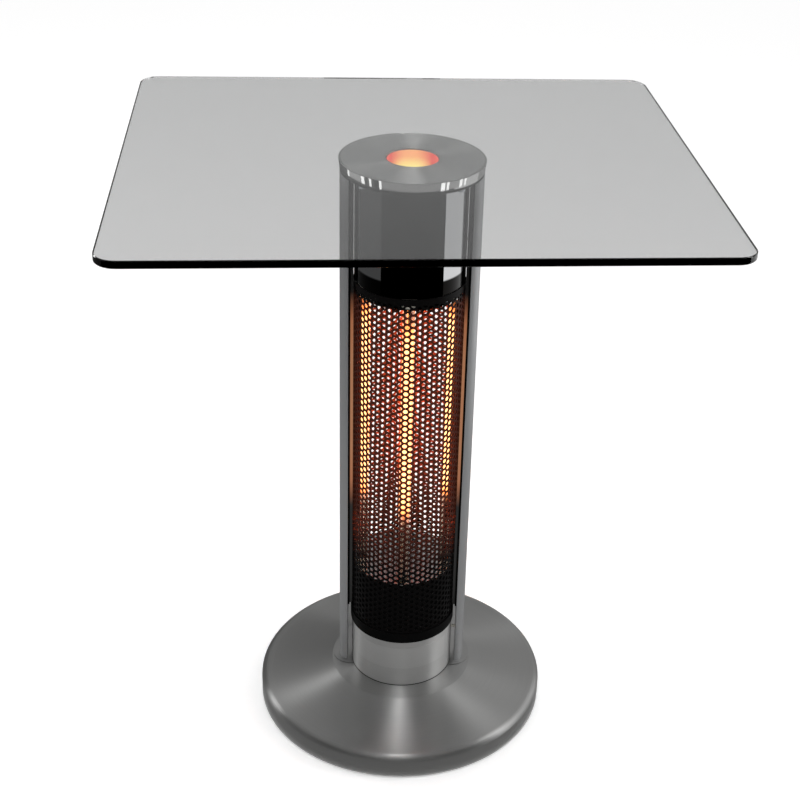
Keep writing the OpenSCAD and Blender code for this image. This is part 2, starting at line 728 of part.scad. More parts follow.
module gland_body() color([0.1, 0.1, 0.1]) at_gland() difference() {
    union() {
        cylinder(r = gland_flange_r, h = gland_flange_t, $fn = 6);
        translate([0, 0, -gland_inside - shell_t])
            cylinder(r = gland_r, h = gland_inside + shell_t + cut, $fn = 64);
        translate([0, 0, gland_flange_t - cut]) cylinder(r = gland_r - 0.5, h = 5 + cut, $fn = 64);
    }
    translate([0, 0, -40]) cylinder(d = cable_d, h = 80, $fn = 64);
}

module gland_cap() color([0.1, 0.1, 0.1]) at_gland() difference() {
    union() {
        translate([0, 0, gland_flange_t]) cylinder(r = gland_cap_r, h = gland_cap_len - 2, $fn = 64);
        translate([0, 0, gland_flange_t + gland_cap_len - 2])
            cylinder(r1 = gland_cap_r, r2 = gland_cap_r - 2.5, h = 2, $fn = 64);
        around(8, gland_cap_r - 0.4)
            translate([0, 0, gland_flange_t + 1]) cylinder(r = 0.9, h = gland_cap_len - 4, $fn = 24);
    }
    translate([0, 0, gland_flange_t - cut]) cylinder(r = gland_r - 0.5, h = 5 + cut, $fn = 64);
    translate([0, 0, 0]) cylinder(d = cable_d, h = 40, $fn = 64);
}

module gland_locknut() color([0.1, 0.1, 0.1]) at_gland() difference() {
    translate([0, 0, -shell_t - 0.4 - gland_nut_t]) cylinder(r = 8.4, h = gland_nut_t, $fn = 6);
    translate([0, 0, -40]) cylinder(r = gland_r, h = 60, $fn = 64);
}

module mains_lead() color([0.1, 0.1, 0.1])
    wire([[0, mains_in_y, gland_h],
          [0, 44, gland_h],
          [0, 22, gland_h + 14],
          [0, 18, land_h + 10],
          [0, 8, ring_z - 10],
          [0, 0, low_bracket_z - block_size[2] - 12],
          [0, 0, low_bracket_z - block_size[2]]], cable_d / 2 - hole_gap);

// ---- One line per sub-part ----

glass_top();
glass_bond();
top_disc();
top_plate();
disc_screws();
housing_screws();
post_head_screws();
upper_housing();
light_well();
upper_hangers();
upper_bracket();
upper_spacers();
upper_reflector();
caps_upper();
upper_leads();
quartz_tube_front();
quartz_tube_right();
quartz_tube_back();
quartz_tube_left();
filament_front();
filament_right();
filament_back();
filament_left();
mesh_guard();
guard_rail_left();
guard_rail_right();
guard_trim_left();
guard_trim_right();
post_left();
post_right();
lower_reflector();
lower_spacers();
caps_lower();
lower_bracket();
element_can();
element_leads();
riser_lead();
terminal_block();
thermal_cutout();
guard_ring();
lower_housing();
rating_plate();
lower_collar();
collar_screws();
switch_body();
switch_rocker();
base_shell();
anchor_plate();
base_ballast();
base_plate();
base_feet();
base_bolts();
post_foot_screws();
tip_switch_body();
tip_plunger();
tip_spring();
gland_body();
gland_cap();
gland_locknut();
mains_lead();
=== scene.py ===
"""Looks of an electric patio heater with a smoked-glass top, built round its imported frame."""
import logging
import math
from dataclasses import dataclass
from enum import Enum
from typing import Any, Sequence

import bmesh
import bpy
from mathutils import Matrix, Vector
from mathutils.bvhtree import BVHTree


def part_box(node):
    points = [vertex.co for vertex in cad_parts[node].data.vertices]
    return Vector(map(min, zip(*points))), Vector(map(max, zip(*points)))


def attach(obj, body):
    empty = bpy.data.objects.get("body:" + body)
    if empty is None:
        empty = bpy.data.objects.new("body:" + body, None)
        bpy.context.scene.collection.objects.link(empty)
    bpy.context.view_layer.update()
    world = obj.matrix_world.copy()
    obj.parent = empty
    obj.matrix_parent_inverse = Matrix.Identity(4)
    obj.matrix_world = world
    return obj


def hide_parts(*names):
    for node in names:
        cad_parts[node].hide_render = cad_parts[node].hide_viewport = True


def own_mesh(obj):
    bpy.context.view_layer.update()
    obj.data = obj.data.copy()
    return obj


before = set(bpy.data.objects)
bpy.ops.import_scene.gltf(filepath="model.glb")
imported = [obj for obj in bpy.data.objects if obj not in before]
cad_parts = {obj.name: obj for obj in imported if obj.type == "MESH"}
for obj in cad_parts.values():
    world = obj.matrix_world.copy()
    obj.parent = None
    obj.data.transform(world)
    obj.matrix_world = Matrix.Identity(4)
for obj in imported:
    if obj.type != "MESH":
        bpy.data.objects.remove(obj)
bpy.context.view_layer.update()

MM = 0.001
BODY = "frame"
log = logging.getLogger("heater")

UP = (0, 0, 1)
LEVEL = (1, 1, 0)
WHITE = (1, 1, 1, 1)
BLACK = (0, 0, 0, 1)
HAIR = 0.0001 * MM

Point = tuple[float, float]
Place = tuple[float, float, float]
Socket = bpy.types.NodeSocket
Tree = bpy.types.NodeTree
Piece = bpy.types.Object
Shape = bmesh.types.BMesh


class Grain(Enum):
    """How a metal surface was worked, which sets the way its highlights run."""

    TURNED = "rings round the column's axis"
    ROUND = "lines that run round an upright wall"
    ALONG = "lines that run up and down"
    NONE = "no direction"


# ---------------------------------------------------------------- nodes and meshes


def linear(code: str) -> tuple[float, float, float, float]:
    """Turns an sRGB hex colour into the linear one that a socket takes.

    Args:
        code: The colour, such as "#8A8C8E".

    Returns:
        Red, green, blue and an alpha of 1.
    """
    parts = [int(code[i:i + 2], 16) / 255 for i in (1, 3, 5)]
    lit = [c / 12.92 if c <= 0.04045 else ((c + 0.055) / 1.055) ** 2.4 for c in parts]
    return (lit[0], lit[1], lit[2], 1.0)


def add(tree: Tree, kind: str, inputs: dict | None = None, **settings: Any) -> bpy.types.Node:
    """Adds a node to a tree, with its settings, its constants and its links.

    Args:
        tree: The tree that gets the node.
        kind: The node's type name.
        inputs: For each input, by name or number, a constant or the output to link.
        settings: Properties of the node, such as operation.

    Returns:
        The new node.
    """
    made = tree.nodes.new(kind)
    for name, value in settings.items():
        setattr(made, name, value)
    for key, value in (inputs or {}).items():
        if isinstance(value, Socket):
            tree.links.new(value, made.inputs[key])
        else:
            made.inputs[key].default_value = value
    return made


def arc(centre: Point, radius: float, start: float, stop: float, steps: int) -> list[Point]:
    """Points along a round stretch of an outline.

    Args:
        centre: Middle of the arc.
        radius: Its radius.
        start: First angle, in degrees.
        stop: Last angle, in degrees.
        steps: How many stretches the arc has.

    Returns:
        The points, both ends among them.
    """
    turns = [math.radians(start + (stop - start) * i / steps) for i in range(steps + 1)]
    return [(centre[0] + radius * math.cos(t), centre[1] + radius * math.sin(t)) for t in turns]


def placed(name: str, data: bpy.types.ID) -> Piece:
    """Puts a mesh, a light or a camera in the scene as an object.

    Args:
        name: The object's name.
        data: What it holds.

    Returns:
        The object, at the origin.
    """
    made = bpy.data.objects.new(name, data)
    bpy.context.scene.collection.objects.link(made)
    return made


def finished(name: str, shape: Shape, sharp: float = 30) -> Piece:
    """Makes an object at the origin from a mesh that is closed and points outwards.

    Args:
        name: The piece's name.
        shape: Its mesh, freed here.
        sharp: The angle past which an edge stays crisp, in degrees.

    Returns:
        The object, in the scene.
    """
    bmesh.ops.remove_doubles(shape, verts=shape.verts, dist=0.002 * MM)
    bmesh.ops.recalc_face_normals(shape, faces=shape.faces)
    mesh = bpy.data.meshes.new(name)
    shape.to_mesh(mesh)
    shape.free()
    mesh.shade_smooth()
    mesh.set_sharp_from_angle(angle=math.radians(sharp))
    return placed(name, mesh)


def lathe(shape: Shape, outline: Sequence[Point], steps: int = 128,
          span: Point = (0, 360), place: Place = (0, 0, 0)) -> None:
    """Turns a closed outline of radius and height round an upright axis.

    Args:
        shape: The mesh that gets the turned solid.
        outline: Its points, as (radius, height).
        steps: Stretches round the whole turn.
        span: Where the turn starts and stops, in degrees.
        place: Where the axis stands, and what is added to the heights.
    """
    whole = abs(span[1] - span[0]) >= 360
    count = max(2, round(steps * abs(span[1] - span[0]) / 360))
    rings = []
    for i in range(count if whole else count + 1):
        turn = math.radians(span[0] + (span[1] - span[0]) * i / count)
        ring = [shape.verts.new((place[0] + r * math.cos(turn), place[1] + r * math.sin(turn), place[2] + z))
                for r, z in outline]
        rings.append(ring)
    for i in range(count):
        here, there = rings[i], rings[(i + 1) % len(rings)]
        for j in range(len(outline)):
            k = (j + 1) % len(outline)
            shape.faces.new((here[j], there[j], there[k], here[k]))
    if not whole:
        shape.faces.new(rings[0])
        shape.faces.new(tuple(reversed(rings[-1])))


def box_section(inner: float, outer: float, bottom: float, top: float) -> list[Point]:
    """Draws the section of a plain ring.

    Args:
        inner: Its inner radius.
        outer: Its outer radius.
        bottom: Its lower edge.
        top: Its upper edge.

    Returns:
        The section, as (radius, height).
    """
    return [(inner, bottom), (outer, bottom), (outer, top), (inner, top)]


def stacked(shape: Shape, rings: Sequence[Sequence[Vector]]) -> None:
    """Skins a row of closed outlines that have the same number of points, and caps both ends.

    Args:
        shape: The mesh that gets the solid.
        rings: The outlines, from one end to the other.
    """
    rows = [[shape.verts.new(p) for p in ring] for ring in rings]
    count = len(rows[0])
    for low, high in zip(rows[:-1], rows[1:]):
        for i in range(count):
            j = (i + 1) % count
            shape.faces.new((low[i], low[j], high[j], high[i]))
    shape.faces.new(tuple(reversed(rows[0])))
    shape.faces.new(tuple(rows[-1]))


def grown(name: str, tree: Tree, values: dict[str, Any],
          seed: Piece | None = None) -> Piece:
    """Runs a Geometry Nodes tree and keeps its result as a plain mesh.

    Args:
        name: The piece's name.
        tree: The tree to run.
        values: What each of its named inputs is set to.
        seed: The object it starts from, or none for an empty mesh.

    Returns:
        The object, with no modifier left on it.
    """
    made = placed(name, bpy.data.meshes.new(name)) if seed is None else seed
    modifier = made.modifiers.new(tree.name, "NODES")
    modifier.node_group = tree
    for item in tree.interface.items_tree:
        if item.item_type == "SOCKET" and item.in_out == "INPUT" and item.name in values:
            modifier[item.identifier] = values[item.name]
    graph = bpy.context.evaluated_depsgraph_get()
    mesh = bpy.data.meshes.new_from_object(made.evaluated_get(graph))
    made.modifiers.clear()
    mesh.name = name
    made.name = name
    made.data = mesh
    return made


def tree_with(name: str, sockets: dict[str, str]) -> tuple[Tree, bpy.types.Node]:
    """Starts a Geometry Nodes tree with named inputs and one geometry output.

    Args:
        name: The tree's name.
        sockets: Each input's name, and the socket type it has.

    Returns:
        The tree, and the node that gives its inputs.
    """
    tree = bpy.data.node_groups.new(name, "GeometryNodeTree")
    for label, kind in sockets.items():
        tree.interface.new_socket(label, in_out="INPUT", socket_type=kind)
    tree.interface.new_socket("Geometry", in_out="OUTPUT", socket_type="NodeSocketGeometry")
    return tree, tree.nodes.new("NodeGroupInput")


def ring_array_tree() -> Tree:
    """Builds the tree that repeats a shape in columns round the axis and in staggered rows.

    Returns:
        A tree that takes the shape at angle 0 and height 0.
    """
    tree, given = tree_with("Ring array", {
        "Shape": "NodeSocketGeometry", "Columns": "NodeSocketInt", "Rows": "NodeSocketInt",
        "Turn": "NodeSocketFloat", "First Turn": "NodeSocketFloat", "Rise": "NodeSocketFloat",
        "First Height": "NodeSocketFloat", "Stagger": "NodeSocketFloat", "Finish": "NodeSocketMaterial"})
    take = given.outputs
    columns, rows = take["Columns"], take["Rows"]
    total = add(tree, "ShaderNodeMath", {0: columns, 1: rows}, operation="MULTIPLY").outputs[0]
    index = add(tree, "GeometryNodeInputIndex").outputs[0]
    share = add(tree, "ShaderNodeMath", {0: index, 1: rows}, operation="DIVIDE").outputs[0]
    column = add(tree, "ShaderNodeMath", {0: share}, operation="FLOOR").outputs[0]
    row = add(tree, "ShaderNodeMath", {0: index, 1: rows}, operation="MODULO").outputs[0]
    odd = add(tree, "ShaderNodeMath", {0: column, 1: 2.0}, operation="MODULO").outputs[0]
    lift = add(tree, "ShaderNodeMath", {0: odd, 1: take["Stagger"], 2: take["First Height"]},
               operation="MULTIPLY_ADD").outputs[0]
    height = add(tree, "ShaderNodeMath", {0: row, 1: take["Rise"], 2: lift},
                 operation="MULTIPLY_ADD").outputs[0]
    turn = add(tree, "ShaderNodeMath", {0: column, 1: take["Turn"], 2: take["First Turn"]},
               operation="MULTIPLY_ADD").outputs[0]
    place = add(tree, "ShaderNodeCombineXYZ", {"Z": height}).outputs[0]
    facing = add(tree, "ShaderNodeCombineXYZ", {"Z": turn}).outputs[0]
    points = add(tree, "GeometryNodePoints", {"Count": total, "Position": place}).outputs[0]
    copies = add(tree, "GeometryNodeInstanceOnPoints",
                 {"Points": points, "Instance": take["Shape"], "Rotation": facing}).outputs[0]
    real = add(tree, "GeometryNodeRealizeInstances", {"Geometry": copies}).outputs[0]
    joined = add(tree, "GeometryNodeMergeByDistance", {"Geometry": real, "Distance": 0.01 * MM}).outputs[0]
    dressed = add(tree, "GeometryNodeSetMaterial",
                  {"Geometry": joined, "Material": take["Finish"]}).outputs[0]
    add(tree, "NodeGroupOutput", {"Geometry": dressed})
    return tree


def coil_tree() -> Tree:
    """Builds the tree that winds a round wire into an upright coil.

    Returns:
        A tree whose inputs are the coil's sizes and where its lower end stands.
    """
    tree, given = tree_with("Wound coil", {
        "Turns": "NodeSocketFloat", "Coil Radius": "NodeSocketFloat", "Wire Radius": "NodeSocketFloat",
        "Height": "NodeSocketFloat", "Place": "NodeSocketVector", "Steps": "NodeSocketInt",
        "Finish": "NodeSocketMaterial"})
    take = given.outputs
    path = add(tree, "GeometryNodeCurveSpiral", {
        "Resolution": take["Steps"], "Rotations": take["Turns"], "Start Radius": take["Coil Radius"],
        "End Radius": take["Coil Radius"], "Height": take["Height"]}).outputs[0]
    section = add(tree, "GeometryNodeCurvePrimitiveCircle",
                  {"Resolution": 6, "Radius": take["Wire Radius"]}).outputs["Curve"]
    wire = add(tree, "GeometryNodeCurveToMesh",
               {"Curve": path, "Profile Curve": section, "Fill Caps": True}).outputs[0]
    round_wire = add(tree, "GeometryNodeSetShadeSmooth", {"Geometry": wire, "Shade Smooth": True}).outputs[0]
    stood = add(tree, "GeometryNodeTransform",
                {"Geometry": round_wire, "Translation": take["Place"]}).outputs[0]
    real = add(tree, "GeometryNodeRealizeInstances", {"Geometry": stood}).outputs[0]
    dressed = add(tree, "GeometryNodeSetMaterial", {"Geometry": real, "Material": take["Finish"]}).outputs[0]
    add(tree, "NodeGroupOutput", {"Geometry": dressed})
    return tree


# ---------------------------------------------------------------- finishes


@dataclass(frozen=True)
class Finish:
    """What every finish has: a name, the record's slot and a way to become a material."""

    name: str
    slot: str

    def material(self) -> bpy.types.Material:
        """Gives the finish's material, made the first time it is asked for.

        Returns:
            The node material.
        """
        made = bpy.data.materials.get(self.name)
        if made is None:
            made = bpy.data.materials.new(self.name)
            made.use_nodes = True
            made.node_tree.nodes.clear()
            surface = self.shade(made.node_tree)
            add(made.node_tree, "ShaderNodeOutputMaterial", surface)
        return made

    def shade(self, tree: Tree) -> dict[str, Socket]:
        """Builds the shader, and returns what each of the output's sockets takes."""
        raise NotImplementedError

    @staticmethod
    def place(tree: Tree) -> Socket:
        """Gives the Object coordinate, which is the frame's own place in metres."""
        return add(tree, "ShaderNodeTexCoord").outputs["Object"]

    @staticmethod
    def specks(tree: Tree, place: Socket, size_mm: float, detail: float) -> Socket:
        """Makes a noise pattern from 0 to 1.

        Args:
            tree: The material's tree.
            place: The Object coordinate.
            size_mm: The pattern's real size.
            detail: How many finer layers it has.

        Returns:
            The pattern.
        """
        return add(tree, "ShaderNodeTexNoise", {
            "Vector": place, "Scale": 1 / (size_mm * MM), "Detail": detail}).outputs["Fac"]

    @staticmethod
    def varied(tree: Tree, pattern: Socket, code: str, swing: float) -> Socket:
        """Lets a colour swing a little either way with a pattern.

        Args:
            tree: The material's tree.
            pattern: The pattern from 0 to 1.
            code: The colour.
            swing: How far it swings, as a share.

        Returns:
            The colour.
        """
        low, high = (tuple(min(1.0, c * share) for c in linear(code)[:3]) + (1.0,)
                     for share in (1 - swing, 1 + swing))
        return add(tree, "ShaderNodeMix", {"Factor": pattern, 6: low, 7: high}, data_type="RGBA").outputs[2]

    @staticmethod
    def band(tree: Tree, height: Socket, lower: Point, upper: Point, curve: str = "LINEAR") -> Socket:
        """Makes a mask that is 1 over a stretch of height and 0 above and below it.

        Args:
            tree: The material's tree.
            height: The height.
            lower: Where the mask starts to rise from 0, and where it reaches 1.
            upper: Where it has fallen to 0 again, and where it starts to fall.
            curve: How it goes from one to the other.

        Returns:
            The mask.
        """
        rise, fall = (add(tree, "ShaderNodeMapRange", {
            "Value": height, "From Min": start, "From Max": stop}, interpolation_type=curve).outputs[0]
            for start, stop in (lower, upper))
        return add(tree, "ShaderNodeMath", {0: rise, 1: fall}, operation="MULTIPLY").outputs[0]


@dataclass(frozen=True)
class Metal(Finish):
    """A bare metal, with the lines its making left in it and the smudges of handling."""

    colour: str
    roughness: float
    grain: Grain = Grain.NONE
    grain_mm: float = 0.6
    depth_mm: float = 0.01
    stretch: float = 0.0
    swing: float = 0.12
    smudge_mm: float = 45.0
    # tint and painted_dark_reflection_height: a painted dark reflection band, the tint colour mixed in fully
    # below the first height and fading out by the second
    tint: str = "#000000"
    painted_dark_reflection_height: Point = (0.0, 0.0)
    bare: float = 1.0
    cloud: float = 0.15

    def lines(self, tree: Tree, place: Socket) -> tuple[Socket, Socket | None]:
        """Makes the pattern of the grain, and the direction its highlights spread in.

        Args:
            tree: The material's tree.
            place: The Object coordinate.

        Returns:
            The pattern from 0 to 1, and the tangent or none.
        """
        x, y, z = add(tree, "ShaderNodeSeparateXYZ", {0: place}).outputs
        flat = add(tree, "ShaderNodeVectorMath", {0: place, 1: LEVEL}, operation="MULTIPLY").outputs[0]
        radius = add(tree, "ShaderNodeVectorMath", {0: flat}, operation="LENGTH").outputs["Value"]
        angle = add(tree, "ShaderNodeMath", {0: y, 1: x}, operation="ARCTAN2").outputs[0]
        fine = 1 / (self.grain_mm * MM)
        if self.grain is Grain.TURNED:
            across = add(tree, "ShaderNodeMath", {0: radius, 1: z}, operation="SUBTRACT").outputs[0]
            along, tangent = angle, flat
        elif self.grain is Grain.ROUND:
            across, along = z, angle
            tangent = add(tree, "ShaderNodeCombineXYZ", {"Z": 1.0}).outputs[0]
        elif self.grain is Grain.ALONG:
            across, along = add(tree, "ShaderNodeMath", {0: x, 1: y}, operation="ADD").outputs[0], z
            tangent = add(tree, "ShaderNodeVectorMath", {0: UP, 1: place},
                          operation="CROSS_PRODUCT").outputs[0]
        else:
            return self.specks(tree, place, self.grain_mm, 3.0), None
        crossed = add(tree, "ShaderNodeMath", {0: across, 1: fine}, operation="MULTIPLY").outputs[0]
        grain = add(tree, "ShaderNodeCombineXYZ", {"X": crossed, "Y": along}).outputs[0]
        streak = add(tree, "ShaderNodeTexNoise", {
            "Vector": grain, "Scale": 1.0, "Detail": 4.0, "Roughness": 0.65}).outputs["Fac"]
        return streak, tangent

    def shade(self, tree: Tree) -> dict[str, Socket]:
        """Builds the metal: colour swing and relief from the grain, roughness from handling, and a band of
        painted dark reflection below a height where one is given.
        """
        place = self.place(tree)
        pattern, tangent = self.lines(tree, place)
        smudge = self.specks(tree, place, self.smudge_mm, 5.0)
        colour = self.varied(tree, pattern, self.colour, self.swing)
        # Painted dark reflection: the tint colour is mixed into the base colour below a height.
        if self.painted_dark_reflection_height[1] > 0:
            height = add(tree, "ShaderNodeSeparateXYZ", {0: place}).outputs["Z"]
            painted_light_mask = add(tree, "ShaderNodeMapRange", {
                "Value": height, "From Min": self.painted_dark_reflection_height[0], "From Max": self.painted_dark_reflection_height[1],
                "To Min": 1.0, "To Max": 0.0}).outputs[0]
            colour = add(tree, "ShaderNodeMix", {"Factor": painted_light_mask, 6: colour, 7: linear(self.tint)},
                         data_type="RGBA").outputs[2]
        rough = add(tree, "ShaderNodeMapRange", {
            "Value": smudge, "From Min": 0.3, "From Max": 0.7,
            "To Min": self.roughness * (1 - self.cloud),
            "To Max": self.roughness * (1 + self.cloud)}).outputs[0]
        inputs = {"Base Color": colour, "Metallic": self.bare, "Roughness": rough,
                  "Anisotropic": self.stretch}
        if self.depth_mm > 0:
            inputs["Normal"] = add(tree, "ShaderNodeBump", {
                "Height": pattern, "Distance": self.depth_mm * MM, "Strength": 0.6}).outputs[0]
        if tangent is not None and self.stretch > 0:
            inputs["Tangent"] = tangent
        return {"Surface": add(tree, "ShaderNodeBsdfPrincipled", inputs).outputs[0]}


@dataclass(frozen=True)
class Moulded(Finish):
    """A plastic, rubber, ceramic or paint, with its fine skin texture and a little unevenness."""

    colour: str
    roughness: float
    skin_mm: float
    depth_mm: float
    swing: float = 0.12
    sheen_of_coat: float = 0.0
    specular: float = 0.5
    # browned, hot and fade_mm: a painted glow colour mixed in over the hot band of height, fading out below
    # and above by fade_mm
    painted_glow_colour: str = "#000000"
    hot: Point = (0.0, 0.0)
    fade_mm: Point = (60.0, 8.0)

    def shade(self, tree: Tree) -> dict[str, Socket]:
        """Builds the skin: noise at its real scale drives colour, roughness and relief, and a painted glow
        colour is mixed in over a band of height where one is given.
        """
        place = self.place(tree)
        skin = self.specks(tree, place, self.skin_mm, 4.0)
        colour = self.varied(tree, skin, self.colour, self.swing)
        # Painted glow: the coils' red-brown light mixed into the colour over the hot band.
        if self.hot[1] > 0:
            height = add(tree, "ShaderNodeSeparateXYZ", {0: place}).outputs["Z"]
            below, above = (fade * MM for fade in self.fade_mm)
            painted_light_mask = self.band(tree, height, (self.hot[0] - below, self.hot[0]),
                             (self.hot[1] + above, self.hot[1]))
            colour = add(tree, "ShaderNodeMix", {"Factor": painted_light_mask, 6: colour, 7: linear(self.painted_glow_colour)},
                         data_type="RGBA").outputs[2]
        rough = add(tree, "ShaderNodeMapRange", {
            "Value": skin, "From Min": 0.3, "From Max": 0.7,
            "To Min": self.roughness * 0.85, "To Max": min(1.0, self.roughness * 1.15)}).outputs[0]
        relief = add(tree, "ShaderNodeBump", {
            "Height": skin, "Distance": self.depth_mm * MM, "Strength": 0.7}).outputs[0]
        surface = add(tree, "ShaderNodeBsdfPrincipled", {
            "Base Color": colour, "Roughness": rough, "Normal": relief, "IOR": 1.5,
            "Specular IOR Level": self.specular, "Coat Weight": self.sheen_of_coat, "Coat Roughness": 0.15})
        return {"Surface": surface.outputs[0]}


@dataclass(frozen=True)
class SmokedGlass(Finish):
    """Grey body-tinted float glass: clear across its thickness, black along it."""

    tint: str
    density: float
    ripple_mm: float = 220.0
    ripple_depth_mm: float = 0.02

    def shade(self, tree: Tree) -> dict[str, Socket]:
        """Builds a smooth clear surface with the faint ripple of float glass, and a grey body."""
        ripple = self.specks(tree, self.place(tree), self.ripple_mm, 1.0)
        relief = add(tree, "ShaderNodeBump", {
            "Height": ripple, "Distance": self.ripple_depth_mm * MM, "Strength": 0.3}).outputs[0]
        surface = add(tree, "ShaderNodeBsdfPrincipled", {
            "Base Color": WHITE, "Roughness": 0.0, "IOR": 1.52, "Transmission Weight": 1.0,
            "Normal": relief})
        body = add(tree, "ShaderNodeVolumeAbsorption", {"Color": linear(self.tint), "Density": self.density})
        return {"Surface": surface.outputs[0], "Volume": body.outputs[0]}


@dataclass(frozen=True)
class ClearFilm(Finish):
    """A thin clear adhesive: nearly nothing but a faint gloss."""

    clearness: float
    cloud_mm: float = 30.0

    def shade(self, tree: Tree) -> dict[str, Socket]:
        """Builds a glossy film that is almost wholly see-through, with faint cloudiness."""
        cloud = self.specks(tree, self.place(tree), self.cloud_mm, 2.0)
        rough = add(tree, "ShaderNodeMapRange", {"Value": cloud, "To Min": 0.05, "To Max": 0.15}).outputs[0]
        film = add(tree, "ShaderNodeBsdfPrincipled", {
            "Base Color": linear("#F2F4F4"), "Roughness": rough, "Alpha": 1 - self.clearness})
        return {"Surface": film.outputs[0]}


@dataclass(frozen=True)
class HotQuartz(Finish):
    """Fused quartz that glows where the coil inside it is lit and stays clear at its cold ends."""

    glow: str
    strength: float
    lit: Point
    fade_mm: float = 14.0
    draw_mm: float = 9.0
    draw_depth_mm: float = 0.02

    def shade(self, tree: Tree) -> dict[str, Socket]:
        """Builds clear quartz, with a glow that fades out at both ends of the lit stretch."""
        place = self.place(tree)
        height = add(tree, "ShaderNodeSeparateXYZ", {0: place}).outputs["Z"]
        fade = self.fade_mm * MM
        lit = self.band(tree, height, (self.lit[0] - fade, self.lit[0] + fade),
                        (self.lit[1] + fade, self.lit[1] - fade), "SMOOTHSTEP")
        power = add(tree, "ShaderNodeMath", {0: lit, 1: self.strength}, operation="MULTIPLY").outputs[0]
        draw = self.specks(tree, place, self.draw_mm, 2.0)
        relief = add(tree, "ShaderNodeBump", {
            "Height": draw, "Distance": self.draw_depth_mm * MM, "Strength": 0.4}).outputs[0]
        surface = add(tree, "ShaderNodeBsdfPrincipled", {
            "Base Color": linear("#F6E9DC"), "Roughness": 0.04, "IOR": 1.46, "Transmission Weight": 1.0,
            "Emission Color": linear(self.glow), "Emission Strength": power, "Normal": relief})
        return {"Surface": surface.outputs[0]}


@dataclass(frozen=True)
class HotWireAndPaintedGlow(Finish):
    """Heating alloy at work: yellow-white in the middle of the lit stretch, redder at its ends. The same
    glow is also painted onto the guard's trims and shields, which are no lamps.
    """

    core: str
    edge: str
    strength: float
    lit: Point
    fade_mm: float = 30.0
    colour: str = "#3A312B"
    roughness: float = 0.5
    rim_mm: float = 2.0
    flicker_mm: float = 22.0

    def shade(self, tree: Tree) -> dict[str, Socket]:
        """Builds metal whose glow follows its height and flickers a little along it."""
        place = self.place(tree)
        height = add(tree, "ShaderNodeSeparateXYZ", {0: place}).outputs["Z"]
        start, stop = self.lit
        fade, rim = self.fade_mm * MM, self.rim_mm * MM
        heat = self.band(tree, height, (start, start + fade), (stop, stop - fade))
        uneven = self.specks(tree, place, self.flicker_mm, 2.0)
        steady = add(tree, "ShaderNodeMapRange", {
            "Value": uneven, "From Min": 0.3, "From Max": 0.7, "To Min": 0.75, "To Max": 1.0}).outputs[0]
        level = add(tree, "ShaderNodeMath", {0: heat, 1: steady}, operation="MULTIPLY").outputs[0]
        glow = add(tree, "ShaderNodeMix", {"Factor": level, 6: linear(self.edge), 7: linear(self.core)},
                   data_type="RGBA").outputs[2]
        mask = self.band(tree, height, (start - rim, start + rim), (stop + rim, stop - rim))
        power = add(tree, "ShaderNodeMath", {0: mask, 1: self.strength}, operation="MULTIPLY").outputs[0]
        surface = add(tree, "ShaderNodeBsdfPrincipled", {
            "Base Color": linear(self.colour), "Metallic": 1.0, "Roughness": self.roughness,
            "Emission Color": glow, "Emission Strength": power})
        return {"Surface": surface.outputs[0]}


@dataclass(frozen=True)
class PaintedGlowWell(Finish):
    """Polished steel with the elements' light from below painted on as a glow, redder towards the opening.
    """

    high: str
    low: str
    side: str
    strength: float
    top: float
    reach_mm: float = 20.0
    bore: float = 26.9 * MM
    drawn_mm: float = 1.5
    drawn_depth_mm: float = 0.02

    def shade(self, tree: Tree) -> dict[str, Socket]:
        """Builds the painted glow: yellower with depth, and redder between the elements than over them."""
        place = self.place(tree)
        x, y, z = add(tree, "ShaderNodeSeparateXYZ", {0: place}).outputs
        reach = self.reach_mm * MM
        depth = add(tree, "ShaderNodeMapRange", {
            "Value": z, "From Min": self.top - 0.3 * reach, "From Max": self.top - reach},
            interpolation_type="SMOOTHSTEP").outputs[0]
        angle = add(tree, "ShaderNodeMath", {0: y, 1: x}, operation="ARCTAN2").outputs[0]
        turns = add(tree, "ShaderNodeMath", {0: angle, 1: 2.0}, operation="MULTIPLY").outputs[0]
        wave = add(tree, "ShaderNodeMath", {0: turns}, operation="COSINE").outputs[0]
        beside = add(tree, "ShaderNodeMapRange", {
            "Value": wave, "From Min": -0.9, "From Max": 0.3}).outputs[0]
        over = add(tree, "ShaderNodeMapRange", {
            "Value": wave, "From Min": 0.4, "From Max": -0.8}).outputs[0]
        upper = add(tree, "ShaderNodeMix", {"Factor": beside, 6: linear(self.high), 7: linear(self.side)},
                    data_type="RGBA").outputs[2]
        deep = add(tree, "ShaderNodeMath", {0: depth, 1: over}, operation="MULTIPLY").outputs[0]
        glow = add(tree, "ShaderNodeMix", {"Factor": deep, 6: upper, 7: linear(self.low)},
                   data_type="RGBA").outputs[2]
        flat = add(tree, "ShaderNodeVectorMath", {0: place, 1: LEVEL}, operation="MULTIPLY").outputs[0]
        radius = add(tree, "ShaderNodeVectorMath", {0: flat}, operation="LENGTH").outputs["Value"]
        inside = add(tree, "ShaderNodeMath", {0: radius, 1: self.bore}, operation="LESS_THAN").outputs[0]
        power = add(tree, "ShaderNodeMath", {0: inside, 1: self.strength}, operation="MULTIPLY").outputs[0]
        drawn = self.specks(tree, place, self.drawn_mm, 3.0)
        relief = add(tree, "ShaderNodeBump", {
            "Height": drawn, "Distance": self.drawn_depth_mm * MM, "Strength": 0.5}).outputs[0]
        surface = add(tree, "ShaderNodeBsdfPrincipled", {
            "Base Color": linear("#4A4847"), "Metallic": 1.0, "Roughness": 0.4, "Normal": relief,
            "Emission Color": glow, "Emission Strength": power})
        return {"Surface": surface.outputs[0]}


# The stretch of height over which the coils are lit.
LIT = (285 * MM, 525 * MM)

